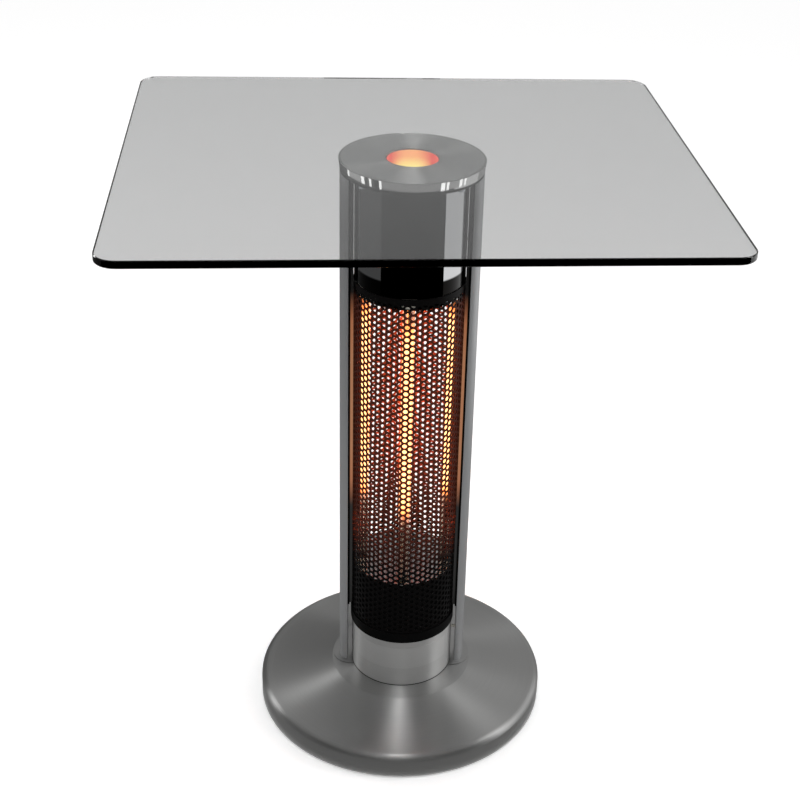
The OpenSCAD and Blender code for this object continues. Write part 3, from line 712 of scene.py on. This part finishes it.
# Grey body-tinted float glass: pale where one looks through it, black where one looks into its edge.
SMOKED_GLASS = SmokedGlass("smoked float glass", "smoked_glass", "#8E9090", 82.0)
# Clear silicone bond: only its gloss shows.
CLEAR_BOND = ClearFilm("clear silicone bond", "clear_bond", 0.93)
# Stainless plate turned on a lathe: fan-shaped highlights that follow the rings.
TURNED_STEEL = Metal("turned stainless disc", "brushed_steel", "#C4C4C2", 0.45, Grain.TURNED, 0.5, 0.004,
                     0.93, 0.08, cloud=0.05)
# The disc's edge, ground bright.
GROUND_STEEL = Metal("bright ground stainless edge", "brushed_steel", "#D0D0CF", 0.07, Grain.NONE, 4.0, 0.0,
                     0.0, 0.04)
# Spun stainless base: soft streaks that run out from the column, finer than the rings show.
SPUN_STEEL = Metal("spun stainless base", "spun_steel", "#B0B0AF", 0.38, Grain.TURNED, 0.9, 0.004,
                   0.93, 0.08, 60.0, cloud=0.05)
# Mirror-polished sheet: sharp reflections, with a near-black painted reflection band along its lower edge.
MIRROR_STEEL = Metal("mirror stainless sheet", "polished_steel", "#C2C3C4", 0.04, Grain.NONE, 40.0, 0.0,
                     0.0, 0.02, 80.0, "#141312", (578 * MM, 580 * MM))
# Polished stainless plate: slightly soft reflections.
POLISHED_STEEL = Metal("polished stainless sheet", "polished_steel", "#C9C9C8", 0.10, Grain.NONE, 25.0,
                       0.003, 0.0, 0.06)
# Sleeve brushed round its girth: highlights stand upright and soft.
SLEEVE_STEEL = Metal("brushed stainless sleeve", "sleeve_steel", "#C6C6C5", 0.38, Grain.ROUND, 0.5, 0.004,
                     0.75, 0.08, bare=0.8, cloud=0.05)
# Extruded, satin anodised aluminium: matt grey with faint drawing lines.
SATIN_ALUMINIUM = Metal("satin anodised aluminium", "satin_aluminium", "#A8A9AA", 0.45, Grain.ALONG, 0.8,
                        0.006, 0.35, 0.05, bare=0.7)
# Zinc-plated steel fasteners and brackets: bluish, slightly cloudy.
PLATED_STEEL = Metal("zinc-plated steel", "plated_steel", "#A7ABB0", 0.32, Grain.NONE, 1.2, 0.02, 0.0, 0.18)
# Grey iron as it left the sand.
CAST_IRON = Metal("sand-cast iron", "cast_iron", "#4A4A4B", 0.62, Grain.NONE, 1.4, 0.25, 0.0, 0.25)
# Satin black powder coat: a faint orange peel.
BLACK_PAINT = Moulded("satin black powder coat", "black_paint", "#070707", 0.42, 1.1, 0.03, 0.2,
                      specular=0.04)
# Heat-proof black paint on the guard: brown-black, slightly glossy, with a painted red-brown glow from the
# coils mixed into its colour over their lit height.
GUARD_PAINT = Moulded("heatproof black paint", "guard_paint", "#090808", 0.38, 0.9, 0.02, 0.25,
                      specular=0.05, painted_glow_colour="#3F1D14", hot=(270 * MM, 542 * MM))
# Glazed steatite: creamy white and glossy.
CERAMIC = Moulded("glazed steatite", "ceramic", "#E9E4D8", 0.22, 0.8, 0.01, 0.05, 0.4)
# Glass-braided silicone wire.
WHITE_WIRE = Moulded("braided silicone wire", "white_wire", "#D9D4C8", 0.7, 0.5, 0.06, 0.15)
# Rubber sheath: matt and dark.
BLACK_CABLE = Moulded("rubber cable sheath", "black_cable", "#1A1A1A", 0.55, 0.8, 0.03, 0.15)
# Glass-filled nylon, spark-eroded mould.
BLACK_PLASTIC = Moulded("black moulded nylon", "black_plastic", "#1C1C1D", 0.45, 0.5, 0.03, 0.15)
# Polished mould: the glossiest of the plastics.
ROCKER_PLASTIC = Moulded("black gloss rocker", "rocker_plastic", "#101011", 0.25, 0.9, 0.01, 0.1, 0.3)
# Turned acetal: waxy off-white.
PLUNGER_PLASTIC = Moulded("white acetal plunger", "plunger_plastic", "#DCDAD2", 0.35, 0.7, 0.01, 0.05)
# Printed ink: thin, even and matt.
MARK_INK = Moulded("white pad print", "rocker_plastic", "#E8E8E6", 0.5, 0.3, 0.005, 0.04)
# Moulded rubber: the mattest black.
FEET_RUBBER = Moulded("black rubber foot", "feet_rubber", "#191918", 0.75, 0.7, 0.05, 0.2)
# Anodised foil plate, left blank: brighter and smoother than the sleeve round it.
LABEL_FOIL = Metal("blank aluminium foil plate", "label_foil", "#CDCDCC", 0.40, Grain.ROUND, 0.6, 0.003,
                   0.6, 0.05, bare=0.8, cloud=0.05)
# Fused quartz tube: clear ends, orange where the coil heats it.
QUARTZ = HotQuartz("glowing quartz tube", "quartz", "#FF9A5C", 0.75, LIT)
# Iron-chromium-aluminium wire at work: yellow-white.
HOT_COIL = HotWireAndPaintedGlow("glowing resistance wire", "hot_filament", "#FFDC98", "#FF7A30", 2.8, LIT, 20.0)
# Polished strip with the nearest element's orange reflection painted on as a glow over the lit height.
PAINTED_GLOW_TRIM = HotWireAndPaintedGlow("polished trim with painted glow", "polished_steel", "#E9A070", "#E08858", 0.42, LIT, 60.0,
                   "#6A6A69", 0.3, 18.0)
# Sheet steel behind the guard, with a painted dark red glow over the coils' lit height.
# Painted glow: the emission stands in for the coils' light on this sheet.
PAINTED_GLOW_SHIELD = HotWireAndPaintedGlow("shield with painted glow", "guard_paint", "#7A2A12", "#5A1E0C", 0.6, LIT, 30.0,
                     "#2A1A16", 0.5, 8.0)
# Drawn steel tube over the elements, with a painted glow: orange high up, yellow deep down.
PAINTED_GLOW_WELL = PaintedGlowWell("polished well with painted glow", "polished_steel", "#F9A66C", "#FFE589", "#D93F3F", 2.2, 691.5 * MM)


def dress(finish: Finish, *nodes: str) -> None:
    """Gives CAD nodes a finish.

    Args:
        finish: What they are made of.
        nodes: Their names.
    """
    for name in nodes:
        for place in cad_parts[name].material_slots:
            place.material = finish.material()
        log.info("dressed %s in %s", name, finish.name)


def publish(piece: Piece, finish: Finish, *replaced: str, body: str = BODY) -> Piece:
    """Puts a finish on a new piece and fixes it to a body.

    Args:
        piece: The finished mesh object, at the origin.
        finish: What it is made of.
        replaced: CAD nodes it stands for.
        body: The CAD body it rides on.

    Returns:
        The piece.
    """
    if not piece.data.materials:
        piece.data.materials.append(finish.material())
    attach(piece, body)
    if replaced:
        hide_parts(*replaced)
    log.info("made %s, %d faces, in %s", piece.name, len(piece.data.polygons), finish.name)
    return piece


# ---------------------------------------------------------------- sub-assemblies


@dataclass
class GlassTop:
    """The smoked glass sheet, its bond and the disc it stands on."""

    corner: float = 22 * MM
    arris: float = 0.9 * MM
    arc_steps: int = 12
    bond_gap: float = 0.04 * MM
    taper: float = 1.2 * MM
    hole: float = 27 * MM
    chamfer: float = 1 * MM
    disc_arris: float = 0.25 * MM
    bond_hole: float = 30 * MM
    flat_enough: float = 0.9
    crisp: float = 4.0

    def outline(self, inset: float, height: float) -> list[Vector]:
        """Draws the sheet's rounded outline at one height.

        Args:
            inset: How far inside the full size it runs.
            height: Its height above the floor.

        Returns:
            The outline's points, anticlockwise.
        """
        low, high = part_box("glass_top")
        centres = [(high.x, high.y, 0), (low.x, high.y, 90), (low.x, low.y, 180), (high.x, low.y, 270)]
        points = []
        for x, y, start in centres:
            middle = (x - math.copysign(self.corner, x), y - math.copysign(self.corner, y))
            points += arc(middle, self.corner - inset, start, start + 90, self.arc_steps)
        return [Vector((x, y, height)) for x, y in points]

    def sheet(self) -> Piece:
        """Builds the sheet with its polished arrises."""
        low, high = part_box("glass_top")
        shape = bmesh.new()
        stacked(shape, [self.outline(self.arris, low.z), self.outline(0, low.z + self.arris),
                        self.outline(0, high.z - self.arris), self.outline(self.arris, high.z)])
        return finished("glass_sheet", shape)

    def bond(self) -> Piece:
        """Builds the clear film between the glass and the disc, a hair clear of both."""
        low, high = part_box("glass_bond")
        bottom, top = low.z + self.bond_gap, high.z - self.bond_gap
        shape = bmesh.new()
        lathe(shape, box_section(self.bond_hole, high.x, bottom, top), 96)
        return finished("bond_film", shape)

    def disc(self) -> Piece:
        """Builds the disc, its flat faces turned and its tapered edge ground bright."""
        low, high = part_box("top_disc")
        top, hole, chamfer, arris = high.x, self.hole, self.chamfer, self.disc_arris
        shape = bmesh.new()
        outline = [(hole, low.z), (top - self.taper, low.z), (top, high.z - arris), (top - arris, high.z),
                   (hole + chamfer, high.z), (hole, high.z - chamfer)]
        lathe(shape, outline, 256)
        made = finished("turned_disc", shape, self.crisp)
        for finish in (TURNED_STEEL, GROUND_STEEL):
            made.data.materials.append(finish.material())
        for face in made.data.polygons:
            face.material_index = int(abs(face.normal.z) < self.flat_enough)
        return made

    def build(self) -> None:
        """Makes the glass, the bond and the disc, and dresses the plate and screws under it."""
        sheet = publish(self.sheet(), SMOKED_GLASS, "glass_top")
        sheet.visible_shadow = False
        publish(self.bond(), CLEAR_BOND, "glass_bond").visible_shadow = False
        publish(self.disc(), TURNED_STEEL, "top_disc")
        dress(BLACK_PAINT, "top_plate")
        dress(PLATED_STEEL, "disc_screws", "housing_screws", "post_head_screws")


@dataclass
class UpperHousing:
    """The mirror sheet under the glass, with the light well and what hangs inside it."""

    liner_wall: float = 0.25 * MM
    liner_gap: float = 0.05 * MM
    liner_below: float = 1.2 * MM
    hole: float = 27 * MM
    well_radii: Point = (28 * MM, 31 * MM)
    flare: float = 4 * MM
    flange_t: float = 1 * MM
    seal_top: float = 4 * MM
    seal_turn: float = -4.6
    seal_half: float = 2.0

    def seals(self) -> Piece:
        """Builds the two rubber strips that close the gaps between the sheet and the posts."""
        low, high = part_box("upper_housing")
        inner = high.x + self.liner_gap
        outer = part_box("guard_trim_right")[0].x - self.liner_gap
        top = high.z - self.seal_top
        shape = bmesh.new()
        for middle in (self.seal_turn, self.seal_turn + 180):
            span = (middle - self.seal_half, middle + self.seal_half)
            lathe(shape, box_section(inner, outer, low.z, top), 180, span)
        return finished("housing_seals", shape)

    def well(self) -> Piece:
        """Builds the light well with a thin liner that runs up through the disc's hole."""
        low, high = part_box("light_well")
        disc_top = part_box("top_disc")[1].z
        outer = self.hole - self.liner_gap
        inner = outer - self.liner_wall
        wall, flange = self.well_radii
        top, liner_top = high.z - self.liner_gap, disc_top - self.liner_below
        shape = bmesh.new()
        outline = [(inner, low.z), (wall, low.z), (wall, high.z - self.flare),
                   (flange, high.z - self.flange_t), (flange, top), (outer, top),
                   (outer, liner_top), (inner, liner_top)]
        lathe(shape, outline, 128)
        return finished("light_well_liner", shape)

    def build(self) -> None:
        """Makes the well and dresses what is round it."""
        publish(self.well(), PAINTED_GLOW_WELL, "light_well")
        publish(self.seals(), FEET_RUBBER)
        dress(MIRROR_STEEL, "upper_housing")
        dress(POLISHED_STEEL, "upper_reflector")
        dress(BLACK_PAINT, "upper_bracket")
        dress(PLATED_STEEL, "upper_hangers", "upper_spacers")
        dress(WHITE_WIRE, "upper_leads", "riser_lead")


@dataclass
class Elements:
    """The quartz tubes with their coils, caps and leads."""

    sides: tuple[str, ...] = ("front", "right", "back", "left")
    wire: float = 0.6 * MM
    pitch: float = 1.8 * MM
    steps_a_turn: int = 14
    lead: float = 0.8 * MM

    def coil(self, side: str, tree: Tree) -> Piece:
        """Winds one element's coil inside its tube.

        Args:
            side: Which of the tubes.
            tree: The coil's Geometry Nodes tree.

        Returns:
            The coil with its two straight leads.
        """
        low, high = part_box("filament_" + side)
        middle = (low + high) / 2
        radius = (high.x - low.x) / 2
        turns = (LIT[1] - LIT[0]) / self.pitch
        coil = grown("coil_" + side, tree, {
            "Turns": turns, "Coil Radius": radius - self.wire, "Wire Radius": self.wire,
            "Height": LIT[1] - LIT[0], "Place": (middle.x, middle.y, LIT[0]),
            "Steps": self.steps_a_turn, "Finish": HOT_COIL.material()})
        shape = bmesh.new()
        shape.from_mesh(coil.data)
        for bottom, top in ((low.z, LIT[0]), (LIT[1], high.z)):
            lathe(shape, box_section(HAIR, self.lead, bottom, top), 12, place=(middle.x, middle.y, 0))
        shape.to_mesh(coil.data)
        shape.free()
        return coil

    def build(self) -> None:
        """Makes the coils and dresses the tubes, caps, brackets and leads."""
        tree = coil_tree()
        for side in self.sides:
            publish(self.coil(side, tree), HOT_COIL, "filament_" + side)
            dress(QUARTZ, "quartz_tube_" + side)
        dress(CERAMIC, "caps_upper", "caps_lower", "terminal_block")
        dress(POLISHED_STEEL, "lower_reflector")
        dress(BLACK_PAINT, "lower_bracket", "element_can")
        dress(PLATED_STEEL, "lower_spacers", "thermal_cutout")
        dress(WHITE_WIRE, "element_leads")


@dataclass
class Guard:
    """The perforated guard round the elements, its hems and the rails beside it."""

    columns: int = 60
    hole: float = 5.1 * MM
    sheet: float = 1.0 * MM
    hem_low: float = 9 * MM
    hem_high: float = 1 * MM
    hole_corners: int = 12
    proud: float = 0.08 * MM
    inside: Point = (58.8 * MM, 59.6 * MM)
    shield_height: Point = (270 * MM, 547 * MM)
    shield_half: float = 30.0
    skirt_height: Point = (115 * MM, 192 * MM)
    column_turn: float = -4.6
    lap: Point = (-7, 1)

    def __post_init__(self) -> None:
        """Works out the lattice from the guard's own box."""
        low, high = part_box("mesh_guard")
        self.outer = high.x
        self.low, self.high = low.z, high.z
        self.turn = math.tau / self.columns
        self.pitch = self.turn * (self.outer - self.sheet / 2) * 2 / math.sqrt(3)

    def cell(self) -> Piece:
        """Builds one six-sided cell of sheet with its hole, bent to the guard's radius.

        Returns:
            The cell, at angle 0 and height 0.
        """
        corner = self.pitch / math.sqrt(3)
        shape = bmesh.new()
        layers = []
        for radius in (self.outer - self.sheet, self.outer):
            rim, hole = [], []
            for count, reach, row in ((6, corner, rim), (self.hole_corners, self.hole / 2, hole)):
                for i in range(count):
                    around = math.tau * i / count
                    side = reach * math.cos(around) / (self.outer - self.sheet / 2)
                    row.append(shape.verts.new((radius * math.cos(side), radius * math.sin(side),
                                                reach * math.sin(around))))
            layers.append((rim, hole))
        share = self.hole_corners // 6
        for level, (rim, hole) in enumerate(layers):
            for i in range(6):
                near = [hole[(i * share + k) % self.hole_corners] for k in range(share + 1)]
                middle = share // 2
                fans = [(rim[i], near[k], near[k + 1]) for k in range(middle)]
                fans.append((rim[i], near[middle], rim[(i + 1) % 6]))
                fans += [(rim[(i + 1) % 6], near[k], near[k + 1]) for k in range(middle, share)]
                for face in fans:
                    shape.faces.new(face if level else tuple(reversed(face)))
        inside, outside = layers[0][1], layers[1][1]
        for i in range(self.hole_corners):
            j = (i + 1) % self.hole_corners
            shape.faces.new((outside[i], inside[i], inside[j], outside[j]))
        mesh = bpy.data.meshes.new("guard cell")
        shape.to_mesh(mesh)
        shape.free()
        return placed("guard cell", mesh)

    def half(self, name: str, first: int, tree: Tree) -> Piece:
        """Repeats the cell over half of the guard.

        Args:
            name: The piece's name.
            first: The first column of the half, counted from +X.
            tree: The ring array's tree.

        Returns:
            The perforated half.
        """
        bottom = self.low + self.hem_low
        rows = int((self.high - self.hem_high - bottom) / self.pitch)
        made = grown(name, tree, {
            "Columns": self.columns // 2, "Rows": rows, "Turn": self.turn, "First Turn": first * self.turn,
            "Rise": self.pitch, "First Height": bottom + self.pitch / 2, "Stagger": self.pitch / 2,
            "Finish": GUARD_PAINT.material()}, self.cell())
        self.top_row = bottom + rows * self.pitch
        return made

    def hems(self) -> Piece:
        """Builds the plain hems above and below the holes, and the two lapped seams."""
        inner, outer = self.outer - self.sheet - self.proud, self.outer + self.proud
        shape = bmesh.new()
        first_row = self.low + self.hem_low + self.pitch * 0.5
        for bottom, top in ((self.low, first_row), (self.top_row, self.high)):
            lathe(shape, box_section(inner, outer, bottom, top), 180)
        seam = box_section(inner, outer, self.low, self.high)
        for middle in (0, 180):
            lathe(shape, seam, 180, (middle + self.lap[0], middle + self.lap[1]))
        return finished("guard_hems", shape)

    def shields(self) -> Piece:
        """Builds the two curved sheets inside the guard beside the posts, which carry a painted dark red
        glow.
        """
        shape = bmesh.new()
        for middle in (self.column_turn, self.column_turn + 180):
            span = (middle - self.shield_half, middle + self.shield_half)
            lathe(shape, box_section(*self.inside, *self.shield_height), 180, span)
        return finished("painted_glow_shields", shape)

    def skirt(self) -> Piece:
        """Builds the dark skirt that hides the wiring behind the lower rows of holes."""
        shape = bmesh.new()
        lathe(shape, box_section(*self.inside, *self.skirt_height), 128)
        return finished("guard_skirt", shape)

    def build(self) -> None:
        """Makes the guard and dresses the ring, rails and trims beside it."""
        tree = ring_array_tree()
        publish(self.half("guard_back", 0, tree), GUARD_PAINT)
        publish(self.half("guard_front", self.columns // 2, tree), GUARD_PAINT, "mesh_guard")
        publish(self.hems(), GUARD_PAINT)
        publish(self.shields(), PAINTED_GLOW_SHIELD)
        publish(self.skirt(), BLACK_PAINT)
        dress(BLACK_PAINT, "guard_ring", "guard_rail_left", "guard_rail_right")
        dress(PAINTED_GLOW_TRIM, "guard_trim_left", "guard_trim_right")


@dataclass
class LowerHousing:
    """The brushed sleeve with its plate, its switch and the collar that holds it."""

    mark_height: float = 2.6 * MM
    mark_stroke: float = 0.45 * MM
    mark_lift: float = 0.06 * MM
    mark_place: float = 0.55
    gasket: Point = (0.35 * MM, 0.9 * MM)

    def foot_gasket(self) -> Piece:
        """Builds the thin rubber gasket that shows as a dark line under the sleeve."""
        low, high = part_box("lower_housing")
        proud, tall = self.gasket
        shape = bmesh.new()
        lathe(shape, [(high.x, low.z), (high.x + proud, low.z), (high.x + proud, low.z + tall * 0.6),
                      (high.x + proud * 0.4, low.z + tall), (high.x, low.z + tall)], 180)
        return finished("foot_gasket", shape)

    def marks(self) -> Piece:
        """Prints the on bar and the off ring on the rocker's two ends.

        Returns:
            The marks, which move with the rocker.
        """
        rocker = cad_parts["switch_rocker"].data
        tree = BVHTree.FromPolygons([v.co for v in rocker.vertices],
                                    [p.vertices[:] for p in rocker.polygons])
        low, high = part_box("switch_rocker")
        reach = (high.z - low.z) / 2
        middle = (high.z + low.z) / 2
        half, stroke = self.mark_height / 2, self.mark_stroke / 2
        bar_middle, ring_middle = middle + reach * self.mark_place, middle - reach * self.mark_place
        strips = [[((-stroke, z), (stroke, z)) for z in (bar_middle - half, bar_middle + half)]]
        outer = arc((0, ring_middle), half, 0, 360, 24)
        inner = arc((0, ring_middle), half - self.mark_stroke, 0, 360, 24)
        strips.append(list(zip(outer, inner)))
        shape = bmesh.new()
        for strip in strips:
            rows = []
            for pair in strip:
                row = []
                for x, z in pair:
                    hit = tree.ray_cast(Vector((x, 1, z)), Vector((0, -1, 0)))[0]
                    level = hit.y if hit else high.y
                    row += [shape.verts.new((x, level - self.mark_lift, z)),
                            shape.verts.new((x, level + self.mark_lift, z))]
                rows.append(row)
            for here, there in zip(rows[:-1], rows[1:]):
                shape.faces.new((here[1], here[3], there[3], there[1]))
                shape.faces.new((here[0], there[0], there[2], here[2]))
                shape.faces.new((here[0], here[1], there[1], there[0]))
                shape.faces.new((here[2], there[2], there[3], here[3]))
            if strip[0] != strip[-1]:
                shape.faces.new((rows[0][0], rows[0][2], rows[0][3], rows[0][1]))
                shape.faces.new((rows[-1][0], rows[-1][1], rows[-1][3], rows[-1][2]))
        return finished("rocker_marks", shape)

    def build(self) -> None:
        """Makes the marks and dresses the sleeve and what it holds."""
        dress(SLEEVE_STEEL, "lower_housing")
        dress(LABEL_FOIL, "rating_plate")
        dress(PLATED_STEEL, "lower_collar", "collar_screws")
        dress(BLACK_PLASTIC, "switch_body")
        dress(ROCKER_PLASTIC, "switch_rocker")
        publish(self.marks(), MARK_INK, body="rocker")
        publish(self.foot_gasket(), FEET_RUBBER)


@dataclass
class Posts:
    """The two aluminium posts and their foot screws."""

    def build(self) -> None:
        """Dresses the posts and screws."""
        dress(SATIN_ALUMINIUM, "post_left", "post_right")
        dress(PLATED_STEEL, "post_foot_screws")


@dataclass
class Base:
    """The spun shell with its ballast, bottom plate, feet, tip-over switch and cable gland."""

    spring_wire: float = 0.35 * MM
    spring_turns: float = 6.0
    spring_steps: int = 24

    def spring(self) -> Piece:
        """Winds the tip-over switch's spring, fixed to the frame; nothing here makes it shorten as the
        plunger rises.
        """
        low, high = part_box("tip_spring")
        return grown("plunger_spring", coil_tree(), {
            "Turns": self.spring_turns, "Coil Radius": high.y - self.spring_wire,
            "Wire Radius": self.spring_wire, "Height": high.z - low.z - 2 * self.spring_wire,
            "Place": ((low.x + high.x) / 2, 0, low.z + self.spring_wire), "Steps": self.spring_steps,
            "Finish": PLATED_STEEL.material()})

    def build(self) -> None:
        """Makes the spring and dresses the rest."""
        dress(SPUN_STEEL, "base_shell")
        dress(PLATED_STEEL, "anchor_plate", "base_bolts")
        dress(CAST_IRON, "base_ballast")
        dress(BLACK_PAINT, "base_plate")
        dress(FEET_RUBBER, "base_feet")
        dress(BLACK_PLASTIC, "tip_switch_body", "gland_body", "gland_cap", "gland_locknut")
        dress(PLUNGER_PLASTIC, "tip_plunger")
        dress(BLACK_CABLE, "mains_lead")
        spring = publish(self.spring(), PLATED_STEEL, "tip_spring")
        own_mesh(spring)


# ---------------------------------------------------------------- studio


@dataclass
class Studio:
    """A pale floor, soft light all round, and the camera."""

    eye: Place = (-0.12034, -1.49166, 1.23649)
    heading: float = 7.03
    tilt: float = 28.68
    roll: float = 2.527
    lens: float = 67.77
    shift: Point = (-0.0786, -0.0071)
    floor_reach: float = 14.0
    floor_drop: float = 0.3 * MM
    card_height: Point = (2 * MM, 0.66)
    card_reach: float = 0.95
    strip_height: Point = (0.651, 0.668)
    strip_reach: float = 0.12
    strip_level: float = 3.2
    edge_reach: float = 0.121
    floor_card: Point = (0.176, 0.94)
    floor_card_level: float = 0.22
    glow_out: float = 7.2 * MM
    glow_wide: float = 6 * MM
    glow_power: float = 0.9

    def camera(self) -> None:
        """Sets the camera up, a little above the glass and looking down at it."""
        data = bpy.data.cameras.new("camera")
        data.sensor_width, data.lens = 36, self.lens
        data.shift_x, data.shift_y = self.shift
        made = placed("camera", data)
        turn = (Matrix.Rotation(math.radians(-self.heading), 4, "Z")
                @ Matrix.Rotation(math.radians(90 - self.tilt), 4, "X")
                @ Matrix.Rotation(math.radians(self.roll), 4, "Z"))
        made.matrix_world = Matrix.Translation(self.eye) @ turn
        bpy.context.scene.camera = made

    def panel(self, name: str, corners: Sequence[Place], shader: dict) -> Piece:
        """Makes a flat stage panel.

        Args:
            name: Its name.
            corners: Its corners in order.
            shader: The inputs of its Principled shader.

        Returns:
            The panel.
        """
        mesh = bpy.data.meshes.new(name)
        mesh.from_pydata([Vector(c) for c in corners], [], [tuple(range(len(corners)))])
        material = bpy.data.materials.new(name)
        material.use_nodes = True
        material.node_tree.nodes.clear()
        surface = add(material.node_tree, "ShaderNodeBsdfPrincipled", shader).outputs[0]
        add(material.node_tree, "ShaderNodeOutputMaterial", {"Surface": surface})
        mesh.materials.append(material)
        made = placed(name, mesh)
        return made

    def floor(self) -> None:
        """Lays the pale floor just under the feet."""
        reach = self.floor_reach
        corners = [(x * reach, y * reach, -self.floor_drop) for x, y in ((-1, -1), (1, -1), (1, 1), (-1, 1))]
        self.panel("floor", corners, {
            "Base Color": (0.9, 0.9, 0.9, 1), "Roughness": 0.9, "Specular IOR Level": 0.0,
            "Emission Color": WHITE, "Emission Strength": 0.3})

    def card(self, name: str, corners: Sequence[Place], strength: float) -> None:
        """Makes a black or shining card that only reflections see.

        Args:
            name: Its name.
            corners: Its corners in order.
            strength: How bright it is, 0 for black.
        """
        made = self.panel(name, corners, {
            "Base Color": BLACK, "Roughness": 1.0, "Specular IOR Level": 0.0,
            "Emission Color": WHITE, "Emission Strength": strength})
        made.visible_camera = False
        made.visible_diffuse = False
        made.visible_transmission = False
        made.visible_shadow = False

    def screen(self, name: str, start: float, stop: float, reach: float, height: Point,
               strength: float) -> None:
        """Stands a curved screen round the heater that only its polished faces see.

        Args:
            name: Its name.
            start: Where it starts, in degrees from +X.
            stop: Where it stops.
            reach: Its distance from the column's axis.
            height: Its lower and upper edge.
            strength: How bright it is, 0 for black.
        """
        low, high = height
        edge = arc((0, 0), reach, start, stop, max(2, round((stop - start) / 4)))
        for number, (here, there) in enumerate(zip(edge[:-1], edge[1:])):
            corners = [(*here, low), (*there, low), (*there, high), (*here, high)]
            self.card(f"{name}_{number}", corners, strength)

    def screens(self) -> None:
        """Stands the screens round the mirror sheet, the strips for the disc's edge and the floor card."""
        for name, start, stop, strength in (("dark", 204.7, 337.0, 0.0), ("grey", 95.0, 204.7, 0.08),
                                            ("pale", 337.0, 392.0, 1.1), ("side", 392.0, 450.0, 0.45)):
            self.screen(f"{name}_screen", start, stop, self.card_reach, self.card_height, strength)
        for middle, width in ((178, 4), (206, 5), (217, 3), (230, 3),
                              (300, 5), (306, 3), (324, 4), (331, 3)):
            self.screen(f"strip_{middle}", middle - width / 2, middle + width / 2, self.strip_reach,
                        self.strip_height, self.strip_level)
        for name, start, stop, strength in (("front", 232, 297, 0.5), ("left", 180, 203, 0.8),
                                            ("right", 303, 322, 0.7)):
            self.screen(f"edge_{name}", start, stop, self.edge_reach, self.strip_height, strength)
        near, far = (arc((0, 0), reach, 0, 360, 60) for reach in self.floor_card)
        self.card("floor_card", [(x, y, MM) for x, y in near + far[::-1]], self.floor_card_level)

    def light(self, name: str, place: Place, size: Point, power: float,
              colour: str = "#FFFFFF", aim: Place = (0, 0, 0.35)) -> Piece:
        """Adds a soft box.

        Args:
            name: Its name.
            place: Its middle.
            size: Its width and height.
            power: Its power in watts.
            colour: Its colour.
            aim: The point that it faces.

        Returns:
            The light's object.
        """
        data = bpy.data.lights.new(name, "AREA")
        data.shape = "RECTANGLE"
        data.size, data.size_y = size
        data.energy = power
        data.color = linear(colour)[:3]
        made = placed(name, data)
        facing = (Vector(aim) - Vector(place)).to_track_quat("-Z", "Y").to_matrix().to_4x4()
        made.matrix_world = Matrix.Translation(place) @ facing
        return made

    def element_light(self) -> None:
        """Lights the inside of the guard from beside each coil, inwards and outwards."""
        for side in ("front", "right", "back", "left"):
            low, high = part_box("quartz_tube_" + side)
            middle = (low + high) / 2
            out = Vector((middle.x, middle.y, 0)).normalized()
            height = (LIT[0] + LIT[1]) / 2
            for name, way in (("in", -1), ("out", 1)):
                place = Vector((middle.x, middle.y, height)) + out * way * self.glow_out
                aim = place + out * way
                lamp = self.light(f"glow_{side}_{name}", tuple(place), (self.glow_wide, LIT[1] - LIT[0]),
                                  self.glow_power, "#FF9A6A", tuple(aim))
                lamp.visible_camera = False
                lamp.visible_glossy = False
                lamp.visible_transmission = False

    def world(self) -> None:
        """Sets the soft light of the room, paler low down and greyer overhead."""
        made = bpy.data.worlds.new("studio")
        made.use_nodes = True
        tree = made.node_tree
        tree.nodes.clear()
        up = add(tree, "ShaderNodeSeparateXYZ",
                 {0: add(tree, "ShaderNodeTexCoord").outputs["Generated"]}).outputs["Z"]
        shade = add(tree, "ShaderNodeMapRange", {
            "Value": up, "From Min": 0.5, "From Max": 1.0, "To Min": 1.0, "To Max": 0.35}).outputs[0]
        path = add(tree, "ShaderNodeLightPath").outputs
        mirrored = add(tree, "ShaderNodeMath", {0: path["Is Glossy Ray"], 1: path["Is Transmission Ray"]},
                       operation="SUBTRACT", use_clamp=True).outputs[0]
        level = add(tree, "ShaderNodeMapRange", {"Value": mirrored, "To Min": 1.0, "To Max": 0.5}).outputs[0]
        power = add(tree, "ShaderNodeMath", {0: shade, 1: level}, operation="MULTIPLY").outputs[0]
        back = add(tree, "ShaderNodeBackground", {"Color": WHITE, "Strength": power}).outputs[0]
        add(tree, "ShaderNodeOutputWorld", {"Surface": back})
        bpy.context.scene.world = made

    def build(self) -> None:
        """Sets the whole studio up."""
        bpy.context.scene.view_settings.view_transform = "Standard"
        self.camera()
        self.floor()
        self.screens()
        self.world()
        self.light("overhead", (-0.04, -0.2, 2.6), (0.14, 0.14), 5)
        self.light("left_box", (-2.2, 1.2, 1.3), (0.5, 0.8), 9)
        self.light("right_box", (2.3, -0.4, 1.5), (0.8, 2.2), 16)
        self.element_light()


def main() -> None:
    """Builds every sub-assembly in order."""
    logging.basicConfig(level=logging.INFO, format="%(message)s")
    for part in (Studio(), GlassTop(), UpperHousing(), Elements(), Guard(), Posts(), LowerHousing(), Base()):
        log.info("== %s", type(part).__name__)
        part.build()


if __name__ == "__main__":
    main()
